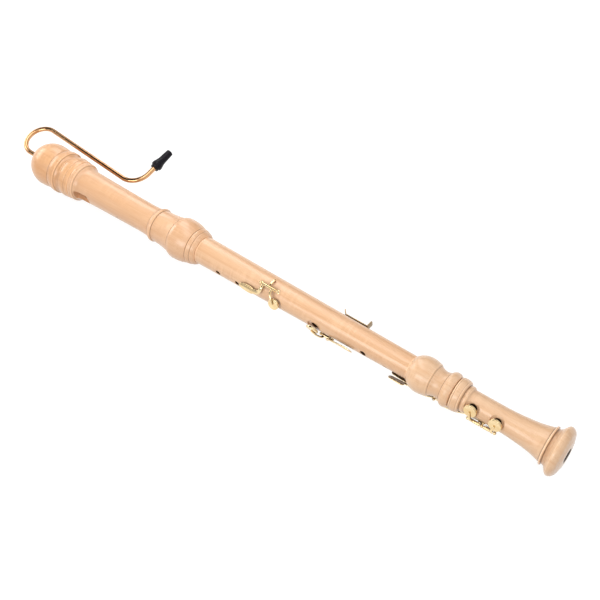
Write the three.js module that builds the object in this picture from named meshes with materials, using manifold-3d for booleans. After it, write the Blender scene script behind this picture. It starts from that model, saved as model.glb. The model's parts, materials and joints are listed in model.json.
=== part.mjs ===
// A bass recorder in three turned joints with a wooden cap, a bent blowing pipe and four keys.
// It lies along X with the bell toward +X, the finger holes toward -Y and +Z up. Millimetres.
// A station is a distance along the axis from the bell end toward the cap, and so runs toward -X.
// An angle round the axis is in degrees from the top (+Z) through the finger side (-Y at 90).

import * as THREE from "three";
import { mergeVertices } from "three/addons/utils/BufferGeometryUtils.js";
import Module from "manifold-3d";

const wasm = await Module();
wasm.setup();

// Facets round a turned joint, a key cup, a small round piece, a wire and a drilled hole, then on a
// quarter of a plate's round end, and the largest turn of one arc facet
const WOOD_SIDES = 24;
const CUP_SIDES = 16;
const SMALL_SIDES = 10;
const WIRE_SIDES = 8;
const FINE_SIDES = 6;
const PLATE_SEGMENTS = 4;
const ARC_STEP_DEGREES = 42;

// Clearances: between pieces at rest on each other, round a turning rod, and how far a cut runs past
const GAP = 0.3;
const RUNNING = 0.06;
const OVERRUN = 3;
const WELD = 0.4;

// three.js divides a whole circle in a shape into twice its curve segments
const CIRCLE_SHARE = 0.5;

const FRONT = 90;
const BACK = -90;

// Each turned outline starts at the lower end. A row gives the length along the axis, the radius at
// its upper end and how far its arc stands out (or in, below zero) from the straight line.
const FOOT = {
  faceRadius: 16,
  exitBore: 10.3,
  exitDepth: 6,
  lowerBore: 9.3,
  socketRadius: 14.8,
  socketDepth: 31,
};
const FOOT_TURNING = {
  rimFace: { length: 2.2, radius: 26, rise: 0.4 },
  rimFront: { length: 6.4, radius: 35.6, rise: 1.6 },
  rimBack: { length: 5.4, radius: 35.4, rise: 0.7 },
  rimUnder: { length: 5, radius: 28.6, rise: 0.3 },
  rimCove: { length: 4.6, radius: 25.9, rise: -0.4 },
  rimCrease: { length: 0.8, radius: 25.8 },
  beadSide: { length: 0.4, radius: 27 },
  rimBead: { length: 2.9, radius: 27, rise: 1.5 },
  beadStep: { length: 0.5, radius: 25.8 },
  flare: { length: 33.8, radius: 19.1, rise: -1.1 },
  lowerNeck: { length: 38, radius: 16.8, rise: -0.5 },
  upperNeck: { length: 43, radius: 16.9 },
  shoulder: { length: 2.5, radius: 18.3, rise: -0.3 },
  ringFoot: { length: 0.5, radius: 19 },
  ring: { length: 5.2, radius: 19, rise: 0.7 },
  groove: { length: 1, radius: 19.2 },
  smallBead: { length: 15.2, radius: 21, rise: 4.4 },
  bigBead: { length: 15.6, radius: 21.8, rise: 4.7 },
  cove: { length: 18, radius: 23.4, rise: -2.7 },
  step: { length: 1, radius: 24.2 },
  bulb: { length: 16.7, radius: 27, rise: 0.9 },
  bulbTop: { length: 18.3, radius: 18.9, rise: 1.9 },
};

const MIDDLE = {
  lowerRadius: 17.7,
  lowerBore: 9.7,
  upperBore: 13.6,
  lowerTenonLength: 30,
  upperTenonLength: 34,
};
const MIDDLE_TURNING = {
  shaft: { length: 380, radius: 21.9 },
};

const HEAD = {
  faceRadius: 23.2,
  bore: 14.5,
  socketRadius: 17.3,
  socketDepth: 35,
  tenonLength: 30,
};
const HEAD_TURNING = {
  mouth: { length: 7, radius: 27.5, rise: 0.9 },
  lip: { length: 6.4, radius: 29.4, rise: 0.4 },
  grooveIn: { length: 1.2, radius: 28.5 },
  grooveOut: { length: 1.4, radius: 29.4 },
  bulb: { length: 22, radius: 33.7, rise: 1.3 },
  bulbTop: { length: 12, radius: 31.4, rise: 1 },
  step: { length: 1, radius: 30.4 },
  neck: { length: 27, radius: 26.4, rise: -0.7 },
  cove: { length: 9, radius: 26.4, rise: -0.3 },
  ring: { length: 6.6, radius: 26, rise: 1.9 },
  ringStep: { length: 2.6, radius: 24.5, rise: -0.2 },
  lowerBarrel: { length: 26, radius: 23.4, rise: -0.3 },
  barrel: { length: 76, radius: 24.6 },
  upperBarrel: { length: 39, radius: 25.7 },
  collar: { length: 8, radius: 26.3, rise: -0.2 },
  flare: { length: 9, radius: 30.8, rise: -1.1 },
  flareStep: { length: 0.8, radius: 31.4 },
  topRing: { length: 8.4, radius: 31.8, rise: 0.6 },
};

const CAP = {
  faceRadius: 32.3,
  socketRadius: 22.4,
  socketDepth: 31,
  chamberRadius: 17,
  chamberLength: 34,
  pipeHole: 6.6,
};
const CAP_TURNING = {
  lowerBand: { length: 7.6, radius: 33.4, rise: 0.2 },
  band: { length: 11.2, radius: 33.2, rise: 0.7 },
  bandEdge: { length: 1.6, radius: 32.6 },
  cove: { length: 9.2, radius: 34.7, rise: -0.8 },
  beadFoot: { length: 1, radius: 35.1 },
  bead: { length: 11, radius: 34.6, rise: 0.8 },
  neck: { length: 3.8, radius: 33.3, rise: -0.4 },
  lowerDome: { length: 19.2, radius: 35.8, rise: 0.5 },
  dome: { length: 35.6, radius: 7.4, rise: 8 },
};

// Tenons are lapped with cork that lies in a groove
const LAPPING = { shoulder: 4, groove: 1.25 };

// The voice of the head: windway, window and labium, and the block that fills the bore above them
const VOICE = {
  windowTop: 252.1,
  windowLength: 7,
  width: 17,
  windwayHeight: 1.2,
  labiumThickness: 0.7,
  rampLength: 25,
  blockBevel: 1.5,
};

// Open tone holes in the middle joint, as heights over its lower shoulder
const TONE_HOLES = {
  high: { height: 334, angle: FRONT, radius: 4.2 },
  next: { height: 297, angle: FRONT, radius: 4.2 },
  rightHand: { height: 71, angle: FRONT, radius: 4.8 },
  low: { height: 34, angle: 108, radius: 4.2 },
  thumb: { height: 348, angle: BACK, radius: 4 },
};

// The blowing pipe: a plain tube bent in one plane, which stands at this angle round the axis
const PIPE = {
  planeAngle: -87,
  radius: 4,
  bore: 3.1,
  inCap: 25,
  straightOut: 18.5,
  loopRadius: 27.3,
  loopAngle: 184.6,
  run: 175,
  endRadius: 30,
  endAngle: 92,
  end: 25,
  bendFacet: 16,
  corkLength: 23,
};
const MOUTHPIECE = {
  grip: 12,
  bore: 1.8,
  faceRadius: 6.6,
};
const MOUTHPIECE_TURNING = {
  collar: { length: 2.6, radius: 7, rise: 0.3 },
  collarGroove: { length: 0.9, radius: 6.9 },
  flank: { length: 1.8, radius: 9.1 },
  body: { length: 5.2, radius: 8.8, rise: 0.2 },
  waist: { length: 12, radius: 6.4, rise: -0.5 },
  beak: { length: 15.5, radius: 5.7, rise: 0.1 },
  tip: { length: 1.8, radius: 4.8, rise: 0.3 },
};

// Parts that all keys share
const KEYWORK = {
  rodRadius: 1.1,
  tubeRadius: 2.3,
  armRadius: 1.5,
  cupWall: 1,
  cupEdge: 1.2,
  padShow: 1.1,
  padThickness: 3,
  seatDip: 0.3,
  seatMargin: 1.2,
  plateThickness: 1.5,
  postBall: 2.5,
  postStem: 1.4,
  postFlange: 3,
  flangeThickness: 1,
  postDepth: 4,
  springRadius: 0.45,
  springDrop: 3.5,
  catchLength: 2,
  feltThickness: 1.4,
};

// Where the bent arms of the keys turn, as shares of their way, and how touches narrow
const MITRE_LIMIT_SHARE = 0.5;
const CUP_ARM = { overShare: 0.5 };
const TOUCH_ARM = { riseShare: 0.35, landShare: 0.8, alongShare: 0.25, inShare: 0.3 };
const HEEL = { outShare: 0.35, dropShare: 0.7, levelShare: 0.33, feltShare: 0.72 };
const TOUCH_FAR_SHARE = 0.7;
const LEVER_FAR_SHARE = 0.8;

// The left-hand and right-hand finger keys of the middle joint. The hinge stands at a height over its
// lower shoulder, and the touch and the cup lie beyond opposite ends of the hinge. An inset is from
// the post at that end, an overhang past it.
const LEFT_KEY = {
  name: "left_key",
  hingeHeight: 226,
  hingeLength: 30,
  touchSide: 1,
  cupOverhang: 1,
  cupArmInset: 8,
  cupAngle: 77,
  cupRadius: 9,
  holeRadius: 5,
  rodAngle: 25,
  rodLift: 4.6,
  opens: -10.5,
  touchArmInset: 5.2,
  touchGap: 10.2,
  touchLength: 28,
  touchWidth: 13.4,
  touchAngle: 71,
  touchLift: 0.9,
  heelInset: 14.4,
  heelAngle: -12,
  heelWidth: 3,
};
const RIGHT_KEY = {
  name: "right_key",
  hingeHeight: 127.4,
  hingeLength: 20,
  touchSide: -1,
  cupOverhang: 8.6,
  cupArmInset: 4.8,
  cupAngle: 92,
  cupRadius: 9.8,
  holeRadius: 5.6,
  rodAngle: 140,
  rodLift: 4.6,
  opens: 12,
  touchArmInset: 4.8,
  touchGap: 11.2,
  touchLength: 34,
  touchWidth: 14,
  touchAngle: 98,
  touchLift: 0.9,
  heelInset: 10,
  heelAngle: 180,
  heelWidth: 3,
};

// The two pad keys of the foot joint turn on one rod, whose middle post stands below the shoulder.
// A tab is inset from the middle post, a cup and its arm from the post at the key's own end.
const FOOT_KEY_SHARED = {
  name: "foot_key",
  hingeDrop: 28.8,
  cupAngle: 54,
  cupRadius: 9.6,
  rodAngle: 108,
  rodLift: 5,
  opens: 15,
  tabWidth: 6,
};
const FOOT_KEYS = [
  {
    name: "foot_key_upper",
    side: 1,
    hingeLength: 21.4,
    cupInset: 1.2,
    cupArmInset: 6.2,
    tabInset: 6.8,
    holeRadius: 6.4,
    lever: 0,
  },
  {
    name: "foot_key_lower",
    side: -1,
    hingeLength: 19.4,
    cupInset: 1.8,
    cupArmInset: 5.8,
    tabInset: 7.2,
    holeRadius: 5.8,
    lever: 1,
  },
];

// The two see-saw levers of the foot joint, which rock on one rod across the cove
const LEVER_PAIR = {
  planeAngle: 152,
  pivotRadius: 23.4,
  barrelRadius: 2,
  spacing: 4.4,
  width: 3.4,
  thickness: 1.8,
  postSpread: 13.6,
  postFlange: 2,
  bulbClearance: 2,
  beadClearance: 1.6,
  tailClearance: 2.1,
  tailReach: 5,
  touchRadius: 27.6,
  touchLow: 2,
  touchHigh: 28,
  touchWidth: 12,
  touchAngle: 13.5,
};
// Side 1 is toward the pad keys' rods
const LEVERS = [
  { name: "lever_near", side: 1, extra: 0 },
  { name: "lever_far", side: -1, extra: 1.6 },
];

const THUMB_REST = {
  height: 89.5,
  length: 37.5,
  screwInset: 21,
  width: 12,
  thickness: 1.6,
  lowerTab: 11,
  lowerLean: 1.2,
  upperTab: 7.6,
  upperReach: 6,
  screwRadius: 1.3,
  screwDepth: 8,
  headRadius: 2.7,
  headHeight: 1.9,
};

const MATERIALS = {
  wood: { color: 0xe9c197, roughness: 0.42, metalness: 0 },
  block: { color: 0xb9764a, roughness: 0.7, metalness: 0 },
  brass: { color: 0xd8ad55, roughness: 0.18, metalness: 1 },
  steel: { color: 0xb9bbc0, roughness: 0.3, metalness: 1 },
  cork: { color: 0xc99f6c, roughness: 0.9, metalness: 0 },
  pad: { color: 0xe9e0cf, roughness: 0.85, metalness: 0 },
  felt: { color: 0x6b2f2a, roughness: 0.95, metalness: 0 },
  plastic: { color: 0x17161a, roughness: 0.38, metalness: 0 },
};

const radians = THREE.MathUtils.degToRad;
const group = new THREE.Group();
group.name = "bass_recorder";

// Solids

// A closed three.js geometry as a solid, turned outside out if its faces point inward.
function solid(geometry) {
  const plain = new THREE.BufferGeometry().setAttribute("position", geometry.getAttribute("position"));
  plain.setIndex(geometry.getIndex());
  const merged = mergeVertices(plain);
  const corners = merged.index.array;
  const place = merged.attributes.position;
  const a = new THREE.Vector3();
  const b = new THREE.Vector3();
  const c = new THREE.Vector3();
  const kept = [];
  let volume = 0;
  for (let i = 0; i < corners.length; i += 3) {
    const [p, q, r] = corners.subarray(i, i + 3);
    if (p === q || q === r || r === p) continue;
    kept.push([p, q, r]);
    a.fromBufferAttribute(place, p);
    b.fromBufferAttribute(place, q);
    c.fromBufferAttribute(place, r);
    volume += a.dot(b.cross(c));
  }
  const outward = volume < 0 ? kept.map(([p, q, r]) => [q, p, r]) : kept;
  return new wasm.Manifold(
    new wasm.Mesh({
      numProp: 3,
      vertProperties: place.array,
      triVerts: new Uint32Array(outward.flat()),
    }),
  );
}

function join(...geometries) {
  return geometries.map(solid).reduce((whole, next) => whole.add(next));
}

function cut(body, ...geometries) {
  return geometries.map(solid).reduce((whole, next) => whole.subtract(next), body);
}

// A solid's surface as a geometry again.
function surface(body) {
  const mesh = body.getMesh();
  const geometry = new THREE.BufferGeometry();
  geometry.setAttribute("position", new THREE.BufferAttribute(mesh.vertProperties, 3));
  geometry.setIndex(new THREE.BufferAttribute(mesh.triVerts, 1));
  geometry.computeVertexNormals();
  return geometry;
}

// One named mesh, in the main group unless another parent is given.
function node(name, body, look, parent = group) {
  const mesh = new THREE.Mesh(surface(body), new THREE.MeshStandardMaterial(MATERIALS[look]));
  mesh.name = name;
  parent.add(mesh);
  return mesh;
}

// Outlines

// Points of the arc from one point to the next that stands out by the rise, without the first.
function arcPoints(from, to, rise = 0) {
  if (!rise) return [to];
  const chord = to.clone().sub(from);
  const half = chord.length() / 2;
  const along = chord.clone().normalize();
  const across = new THREE.Vector2(along.y, -along.x);
  const turn = 2 * Math.atan(rise / half);
  const radius = half / Math.sin(turn);
  const steps = Math.max(2, Math.ceil(Math.abs(2 * turn) / radians(ARC_STEP_DEGREES)));
  const middle = from.clone().lerp(to, 0.5);
  const centre = middle.addScaledVector(across, -radius * Math.cos(turn));
  const points = [];
  for (let i = 1; i < steps; i++) {
    const angle = turn * ((2 * i) / steps - 1);
    points.push(
      centre
        .clone()
        .addScaledVector(across, radius * Math.cos(angle))
        .addScaledVector(along, radius * Math.sin(angle)),
    );
  }
  return [...points, to];
}

// A turned outline as points (radius, station), from its first radius and station upward.
function turned(rows, firstRadius, station = 0) {
  const points = [new THREE.Vector2(firstRadius, station)];
  for (const row of Object.values(rows)) {
    const from = points.at(-1);
    const to = new THREE.Vector2(row.radius, station + row.length);
    station = to.y;
    points.push(...arcPoints(from, to, row.rise));
  }
  return points;
}

// Where each row of a turned outline lies: its low end, middle and high end.
function rowStations(rows, station = 0) {
  const places = {};
  for (const [name, { length }] of Object.entries(rows)) {
    places[name] = { low: station, middle: station + length / 2, high: station + length };
    station += length;
  }
  return places;
}

// The radius of an outline at a station.
function radiusAt(outline, station) {
  for (let i = 1; i < outline.length; i++) {
    const low = outline[i - 1];
    const high = outline[i];
    if (station > high.y) continue;
    const share = high.y > low.y ? (station - low.y) / (high.y - low.y) : 1;
    return low.x + (high.x - low.x) * Math.max(0, share);
  }
  return outline.at(-1).x;
}

// The largest radius of an outline within a reach of a station, for what stands on it.
function radiusUnder(outline, station, reach) {
  return Math.max(...[-reach, 0, reach].map((aside) => radiusAt(outline, station + aside)));
}

// A body of revolution about the axis from points (radius, station).
function revolved(points, sides = WOOD_SIDES) {
  return new THREE.LatheGeometry(points, sides).rotateZ(Math.PI / 2);
}

// A round body with straight walls between rings (radius, station), closed on itself.
function ringed(pairs, sides) {
  const points = pairs.map(([radius, station]) => new THREE.Vector2(radius, station));
  return revolved([...points, points[0].clone()], sides);
}

// The outline of a strip of one thickness along a line of points (a, b), with mitred corners.
function stripShape(line, thickness) {
  const sides = [[], []];
  line.forEach((point, i) => {
    const before = line[Math.max(0, i - 1)];
    const after = line[Math.min(line.length - 1, i + 1)];
    const into = point.clone().sub(before).normalize();
    const out = after.clone().sub(point).normalize();
    const along = into.add(out).normalize();
    const stretch = i && i < line.length - 1 ? Math.max(MITRE_LIMIT_SHARE, Math.abs(along.dot(out))) : 1;
    const across = new THREE.Vector2(-along.y, along.x).multiplyScalar(thickness / 2 / stretch);
    sides[0].push(point.clone().add(across));
    sides[1].unshift(point.clone().sub(across));
  });
  return new THREE.Shape([...sides[0], ...sides[1]]);
}

// Places round the axis

// A point at a station, an angle round the axis and a distance from it.
function spot(station, angle, radius) {
  const turn = radians(angle);
  return new THREE.Vector3(-station, -radius * Math.sin(turn), radius * Math.cos(turn));
}

// Geometry with its own +Z outward and +X toward the bell, set at a station and an angle.
function placed(geometry, station, angle) {
  return geometry.rotateX(radians(angle)).translate(-station, 0, 0);
}

// A round bar that stands outward from one radius to another.
function standing(radius, low, high, station, angle, sides = SMALL_SIDES) {
  const bar = new THREE.CylinderGeometry(radius, radius, high - low, sides).rotateX(Math.PI / 2);
  return placed(bar.translate(0, 0, (low + high) / 2), station, angle);
}

// A round bar parallel to the axis, between two stations, at an angle and a radius.
function lying(radius, low, high, angle, distance, sides = SMALL_SIDES) {
  const bar = new THREE.CylinderGeometry(radius, radius, high - low, sides).rotateZ(Math.PI / 2);
  const middle = spot((low + high) / 2, angle, distance);
  return bar.translate(middle.x, middle.y, middle.z);
}

// A body of revolution that stands outward, from points (radius, distance from the axis).
function stood(pairs, station, angle, sides = SMALL_SIDES) {
  const points = pairs.map(([radius, distance]) => new THREE.Vector2(radius, distance));
  return placed(new THREE.LatheGeometry(points, sides).rotateX(Math.PI / 2), station, angle);
}

// A round wire or bar along a smooth line through points.
function wire(points, radius, sides = WIRE_SIDES, steps = 5) {
  const section = new THREE.Shape().absarc(0, 0, radius, 0, 2 * Math.PI);
  return new THREE.ExtrudeGeometry(section, {
    steps,
    curveSegments: sides * CIRCLE_SHARE,
    extrudePath: new THREE.CatmullRomCurve3(points, false, "centripetal"),
  });
}

// A flat strip in the cross-section of the instrument: its line is (angle, radius) pairs.
function crossStrip(line, thickness, station, width) {
  const points = line.map(([angle, radius]) => {
    const place = spot(0, angle, radius);
    return new THREE.Vector2(place.y, place.z);
  });
  const strip = new THREE.ExtrudeGeometry(stripShape(points, thickness), {
    depth: width,
    bevelEnabled: false,
  });
  const cycle = new THREE.Matrix4().makeBasis(
    new THREE.Vector3(0, 1, 0),
    new THREE.Vector3(0, 0, 1),
    new THREE.Vector3(1, 0, 0),
  );
  return strip.applyMatrix4(cycle).translate(-station - width / 2, 0, 0);
}

// A plate that follows the round of the instrument, cut to an outline drawn from outside.
function curvedPlate(outline, innerRadius, thickness, station, angle) {
  const reach = outline.getPoints().reduce((most, p) => Math.max(most, Math.abs(p.x)), 0) + OVERRUN;
  const outer = innerRadius + thickness;
  const shell = ringed(
    [
      [innerRadius, -reach],
      [outer, -reach],
      [outer, reach],
      [innerRadius, reach],
    ],
    WOOD_SIDES,
  );
  const punch = new THREE.ExtrudeGeometry(outline, {
    depth: outer,
    bevelEnabled: false,
    curveSegments: PLATE_SEGMENTS,
  });
  return surface(solid(placed(shell, station, angle)).intersect(solid(placed(punch, station, angle))));
}

// A long touch with round ends, narrower at its far end by the share given.
function touchOutline(length, width, farShare) {
  const near = width / 2;
  const far = near * farShare;
  const shape = new THREE.Shape();
  shape.absarc(length / 2 - near, 0, near, -Math.PI / 2, Math.PI / 2);
  shape.absarc(far - length / 2, 0, far, Math.PI / 2, (3 * Math.PI) / 2);
  return shape;
}

// Joint positions along the axis
const footLine = turned(FOOT_TURNING, FOOT.faceRadius);
const footAt = rowStations(FOOT_TURNING);
const footEnd = footLine.at(-1).y;
const middleLine = turned(MIDDLE_TURNING, MIDDLE.lowerRadius, footEnd);
const middleEnd = middleLine.at(-1).y;
const headLine = turned(HEAD_TURNING, HEAD.faceRadius, middleEnd);
const headEnd = headLine.at(-1).y;
const capLine = turned(CAP_TURNING, CAP.faceRadius, headEnd + GAP);
const capEnd = capLine.at(-1).y;

// Turned joints

// A tenon with a groove for its cork, as (radius, station) pairs from the shoulder outward.
function tenonPairs(shoulder, length, socket, direction) {
  const radius = socket - GAP;
  const groove = radius - LAPPING.groove;
  const at = (distance) => shoulder + direction * distance;
  const low = LAPPING.shoulder;
  const high = length - LAPPING.shoulder;
  return [
    [radius, at(0)],
    [radius, at(low)],
    [groove, at(low)],
    [groove, at(high)],
    [radius, at(high)],
    [radius, at(length)],
  ];
}

// The cork in that groove, 0.3 mm clear of it.
function lapping(name, shoulder, length, socket, direction) {
  const inner = socket - GAP - LAPPING.groove + GAP;
  const outer = socket - GAP;
  const one = shoulder + direction * (LAPPING.shoulder + GAP);
  const other = shoulder + direction * (length - LAPPING.shoulder - GAP);
  const low = Math.min(one, other);
  const high = Math.max(one, other);
  const ring = [
    [inner, low],
    [outer, low],
    [outer, high],
    [inner, high],
  ];
  node(name, join(ringed(ring, WOOD_SIDES)), "cork");
}

const asPoints = (pairs) => pairs.map(([radius, station]) => new THREE.Vector2(radius, station));

// The round seat that a pad closes on, and the tone hole under it.
function seatCuts(key, station, wood) {
  const seat = seatOf(key, wood);
  return [
    standing(key.cupRadius + KEYWORK.seatMargin, seat, wood + OVERRUN, station, key.cupAngle, CUP_SIDES),
    standing(key.holeRadius, 0, wood, station, key.cupAngle, SMALL_SIDES),
  ];
}

function padRadiusOf(key) {
  return key.cupRadius - KEYWORK.cupWall - GAP;
}

// How far from the axis a flat seat lies so that the whole pad closes on it.
function seatOf(key, wood) {
  return Math.sqrt(wood ** 2 - padRadiusOf(key) ** 2) - KEYWORK.seatDip;
}

function postHole(station, angle, wood) {
  const low = wood - KEYWORK.postDepth - GAP;
  const radius = KEYWORK.postStem / Math.cos(Math.PI / FINE_SIDES) + GAP;
  return standing(radius, low, wood + OVERRUN, station, angle, FINE_SIDES);
}

function keyPostHoles(key, offset, line) {
  return key.posts.map((height) => {
    const wood = radiusAt(line, offset + height);
    return postHole(offset + height, key.rodAngle, wood);
  });
}

// The heights of a finger key over the lower shoulder of the middle joint.
function fingerHeights(key) {
  const upper = key.hingeHeight + key.hingeLength;
  const touchEnd = key.touchSide > 0 ? upper : key.hingeHeight;
  const cupEnd = key.touchSide > 0 ? key.hingeHeight : upper;
  const touchArm = touchEnd - key.touchSide * key.touchArmInset;
  const touchNear = touchArm + key.touchSide * key.touchGap;
  return {
    ...key,
    posts: [upper, key.hingeHeight],
    cupHeight: cupEnd - key.touchSide * key.cupOverhang,
    cupArm: cupEnd + key.touchSide * key.cupArmInset,
    touchArm,
    touchNear,
    touchMiddle: touchNear + (key.touchSide * key.touchLength) / 2,
    heelHeight: key.hingeHeight + key.heelInset,
  };
}

// The heights of a pad key of the foot over the bell end.
function footHeights(own) {
  const middle = footAt.shoulder.low - FOOT_KEY_SHARED.hingeDrop;
  const end = middle + own.side * own.hingeLength;
  return {
    ...FOOT_KEY_SHARED,
    ...own,
    end,
    middle,
    cupHeight: end - own.side * own.cupInset,
    cupArm: end - own.side * own.cupArmInset,
    tabHeight: middle + own.side * own.tabInset,
  };
}

const fingerKeys = [LEFT_KEY, RIGHT_KEY].map(fingerHeights);
const footPadKeys = FOOT_KEYS.map(footHeights);
const [upperPadKey, lowerPadKey] = footPadKeys;
const footHinge = { ...FOOT_KEY_SHARED, posts: [upperPadKey.end, upperPadKey.middle, lowerPadKey.end] };

function footJoint() {
  const bore = asPoints([
    [FOOT.socketRadius, footEnd],
    [FOOT.socketRadius, footEnd - FOOT.socketDepth],
    [MIDDLE.lowerBore, footEnd - FOOT.socketDepth],
    [FOOT.lowerBore, FOOT.exitDepth],
    [FOOT.exitBore, 0],
  ]);
  const cuts = footPadKeys.flatMap((key) => {
    return seatCuts(key, key.cupHeight, radiusAt(footLine, key.cupHeight));
  });
  cuts.push(...keyPostHoles(footHinge, 0, footLine));
  cuts.push(...leverPosts.map((post) => postHole(post.station, post.angle, post.wood)));
  node("foot_joint", cut(join(revolved([...footLine, ...bore, footLine[0].clone()])), ...cuts), "wood");
}

function middleJoint() {
  const lower = tenonPairs(footEnd + GAP, MIDDLE.lowerTenonLength, FOOT.socketRadius, -1).reverse();
  const upper = tenonPairs(middleEnd - GAP, MIDDLE.upperTenonLength, HEAD.socketRadius, 1);
  const shaft = [
    [MIDDLE.lowerRadius, footEnd + GAP],
    [middleLine.at(-1).x, middleEnd - GAP],
  ];
  const bore = [
    [MIDDLE.upperBore, upper.at(-1)[1]],
    [MIDDLE.lowerBore, lower[0][1]],
  ];
  const body = join(ringed([...lower, ...shaft, ...upper, ...bore], WOOD_SIDES));
  const holes = Object.values(TONE_HOLES).map(({ height, angle, radius }) => {
    const station = footEnd + height;
    return standing(radius, 0, radiusAt(middleLine, station) + OVERRUN, station, angle);
  });
  const seats = fingerKeys.flatMap((key) => {
    const station = footEnd + key.cupHeight;
    const wood = radiusAt(middleLine, station);
    return [...seatCuts(key, station, wood), ...keyPostHoles(key, footEnd, middleLine)];
  });
  const screw = footEnd + THUMB_REST.height + THUMB_REST.screwInset;
  const wood = radiusAt(middleLine, screw);
  const low = wood - THUMB_REST.screwDepth - GAP;
  const screwHole = standing(THUMB_REST.screwRadius + GAP, low, wood + OVERRUN, screw, BACK, WIRE_SIDES);
  node("middle_joint", cut(body, ...holes, ...seats, screwHole), "wood");
}

// The window with its ramp down to the labium edge, and the windway above it.
function voiceCuts() {
  const top = middleEnd + VOICE.windowTop;
  const edge = top - VOICE.windowLength;
  const rampEnd = edge - VOICE.rampLength;
  const roof = HEAD.bore + VOICE.windwayHeight;
  const lip = HEAD.bore + VOICE.labiumThickness;
  const wood = radiusAt(headLine, rampEnd);
  const outside = radiusAt(headLine, headEnd) + OVERRUN;
  const side = new THREE.Shape([
    new THREE.Vector2(top, 0),
    new THREE.Vector2(top, outside),
    new THREE.Vector2(rampEnd, outside),
    new THREE.Vector2(rampEnd, wood),
    new THREE.Vector2(edge, lip),
    new THREE.Vector2(edge, 0),
  ]);
  const window = new THREE.ExtrudeGeometry(side, { depth: VOICE.width, bevelEnabled: false });
  window.translate(0, 0, -VOICE.width / 2).rotateX(Math.PI / 2).scale(-1, 1, 1);
  const windwayLength = headEnd + HEAD.tenonLength + OVERRUN - top + WELD;
  const arch = new THREE.CylinderGeometry(roof, roof, windwayLength, WOOD_SIDES).rotateZ(Math.PI / 2);
  const slot = new THREE.BoxGeometry(windwayLength, VOICE.width, roof).translate(0, 0, roof / 2 + WELD);
  const middle = top - WELD + windwayLength / 2;
  const windway = solid(placed(arch, middle, FRONT)).intersect(solid(placed(slot, middle, FRONT)));
  return [placed(window, 0, FRONT), surface(windway)];
}

function headJoint() {
  const tenon = tenonPairs(headEnd, HEAD.tenonLength, CAP.socketRadius, 1);
  const inside = [
    [HEAD.bore, headEnd + HEAD.tenonLength],
    [HEAD.bore, middleEnd + HEAD.socketDepth],
    [HEAD.socketRadius, middleEnd + HEAD.socketDepth],
    [HEAD.socketRadius, middleEnd],
  ];
  const profile = [...headLine, ...asPoints([...tenon, ...inside]), headLine[0].clone()];
  node("head_joint", cut(join(revolved(profile)), ...voiceCuts()), "wood");
}

// The block: a plug in the bore, bevelled at its lower end beside the window.
function block() {
  const low = middleEnd + VOICE.windowTop + GAP;
  const high = headEnd + HEAD.tenonLength;
  const radius = HEAD.bore - GAP;
  const profile = [
    [0, low],
    [radius - VOICE.blockBevel, low],
    [radius, low + VOICE.blockBevel],
    [radius, high],
    [0, high],
  ];
  node("fipple_block", join(revolved(asPoints(profile))), "block");
}

function cap() {
  const low = headEnd + GAP;
  const socketTop = low + CAP.socketDepth;
  const chamberTop = socketTop + CAP.chamberLength;
  const inside = [
    [CAP.pipeHole, capEnd],
    [CAP.pipeHole, chamberTop],
    [CAP.chamberRadius, socketTop + CAP.chamberLength / 2],
    [CAP.chamberRadius, socketTop],
    [CAP.socketRadius, socketTop],
    [CAP.socketRadius, low],
  ];
  node("cap", join(revolved([...capLine, ...asPoints(inside), capLine[0].clone()])), "wood");
}

// Blowing pipe

// A curve that is only known at its stations, so that an extrusion puts one ring at each.
class StationCurve extends THREE.Curve {
  constructor(stations) {
    super();
    this.stations = stations;
  }
  station(share) {
    return this.stations[Math.round(share * (this.stations.length - 1))];
  }
  getPoint(share, target = new THREE.Vector3()) {
    return target.copy(this.station(share).point);
  }
  getPointAt(share, target) {
    return this.getPoint(share, target);
  }
  getTangentAt(share, target = new THREE.Vector3()) {
    return target.copy(this.station(share).tangent);
  }
}

// The pipe's centre line in its own plane: (distance along the axis, distance from it) and heading.
function pipeLine() {
  const line = [];
  let place = new THREE.Vector2(capEnd - PIPE.inCap, 0);
  let heading = 0;
  const mark = () => line.push({ place: place.clone(), heading });
  const forward = (length) => {
    place = place.clone().add(new THREE.Vector2(Math.cos(heading), Math.sin(heading)).multiplyScalar(length));
    mark();
  };
  const bend = (radius, degrees) => {
    const steps = Math.ceil(Math.abs(degrees) / PIPE.bendFacet);
    const part = radians(degrees) / steps;
    const chord = 2 * radius * Math.sin(Math.abs(part) / 2);
    for (let i = 0; i < steps; i++) {
      const middle = heading + part / 2;
      place = place.clone().add(new THREE.Vector2(Math.cos(middle), Math.sin(middle)).multiplyScalar(chord));
      heading += part;
      mark();
    }
  };
  mark();
  forward(PIPE.inCap + PIPE.straightOut);
  bend(PIPE.loopRadius, PIPE.loopAngle);
  forward(PIPE.run);
  bend(PIPE.endRadius, -PIPE.endAngle);
  forward(PIPE.end);
  return line;
}

const pipeStations = pipeLine().map(({ place, heading }) => {
  const turn = radians(PIPE.planeAngle);
  const outward = new THREE.Vector3(0, -Math.sin(turn), Math.cos(turn));
  const tangent = new THREE.Vector3(-Math.cos(heading), 0, 0).addScaledVector(outward, Math.sin(heading));
  return { point: spot(place.x, PIPE.planeAngle, place.y), tangent };
});

function blowingPipe() {
  const section = new THREE.Shape().absarc(0, 0, PIPE.radius, 0, 2 * Math.PI);
  section.holes.push(new THREE.Path().absarc(0, 0, PIPE.bore, 0, 2 * Math.PI, true));
  const tube = new THREE.ExtrudeGeometry(section, {
    steps: pipeStations.length - 1,
    curveSegments: SMALL_SIDES * CIRCLE_SHARE,
    extrudePath: new StationCurve(pipeStations),
  });
  node("blowing_pipe", join(tube), "brass");
}

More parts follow.
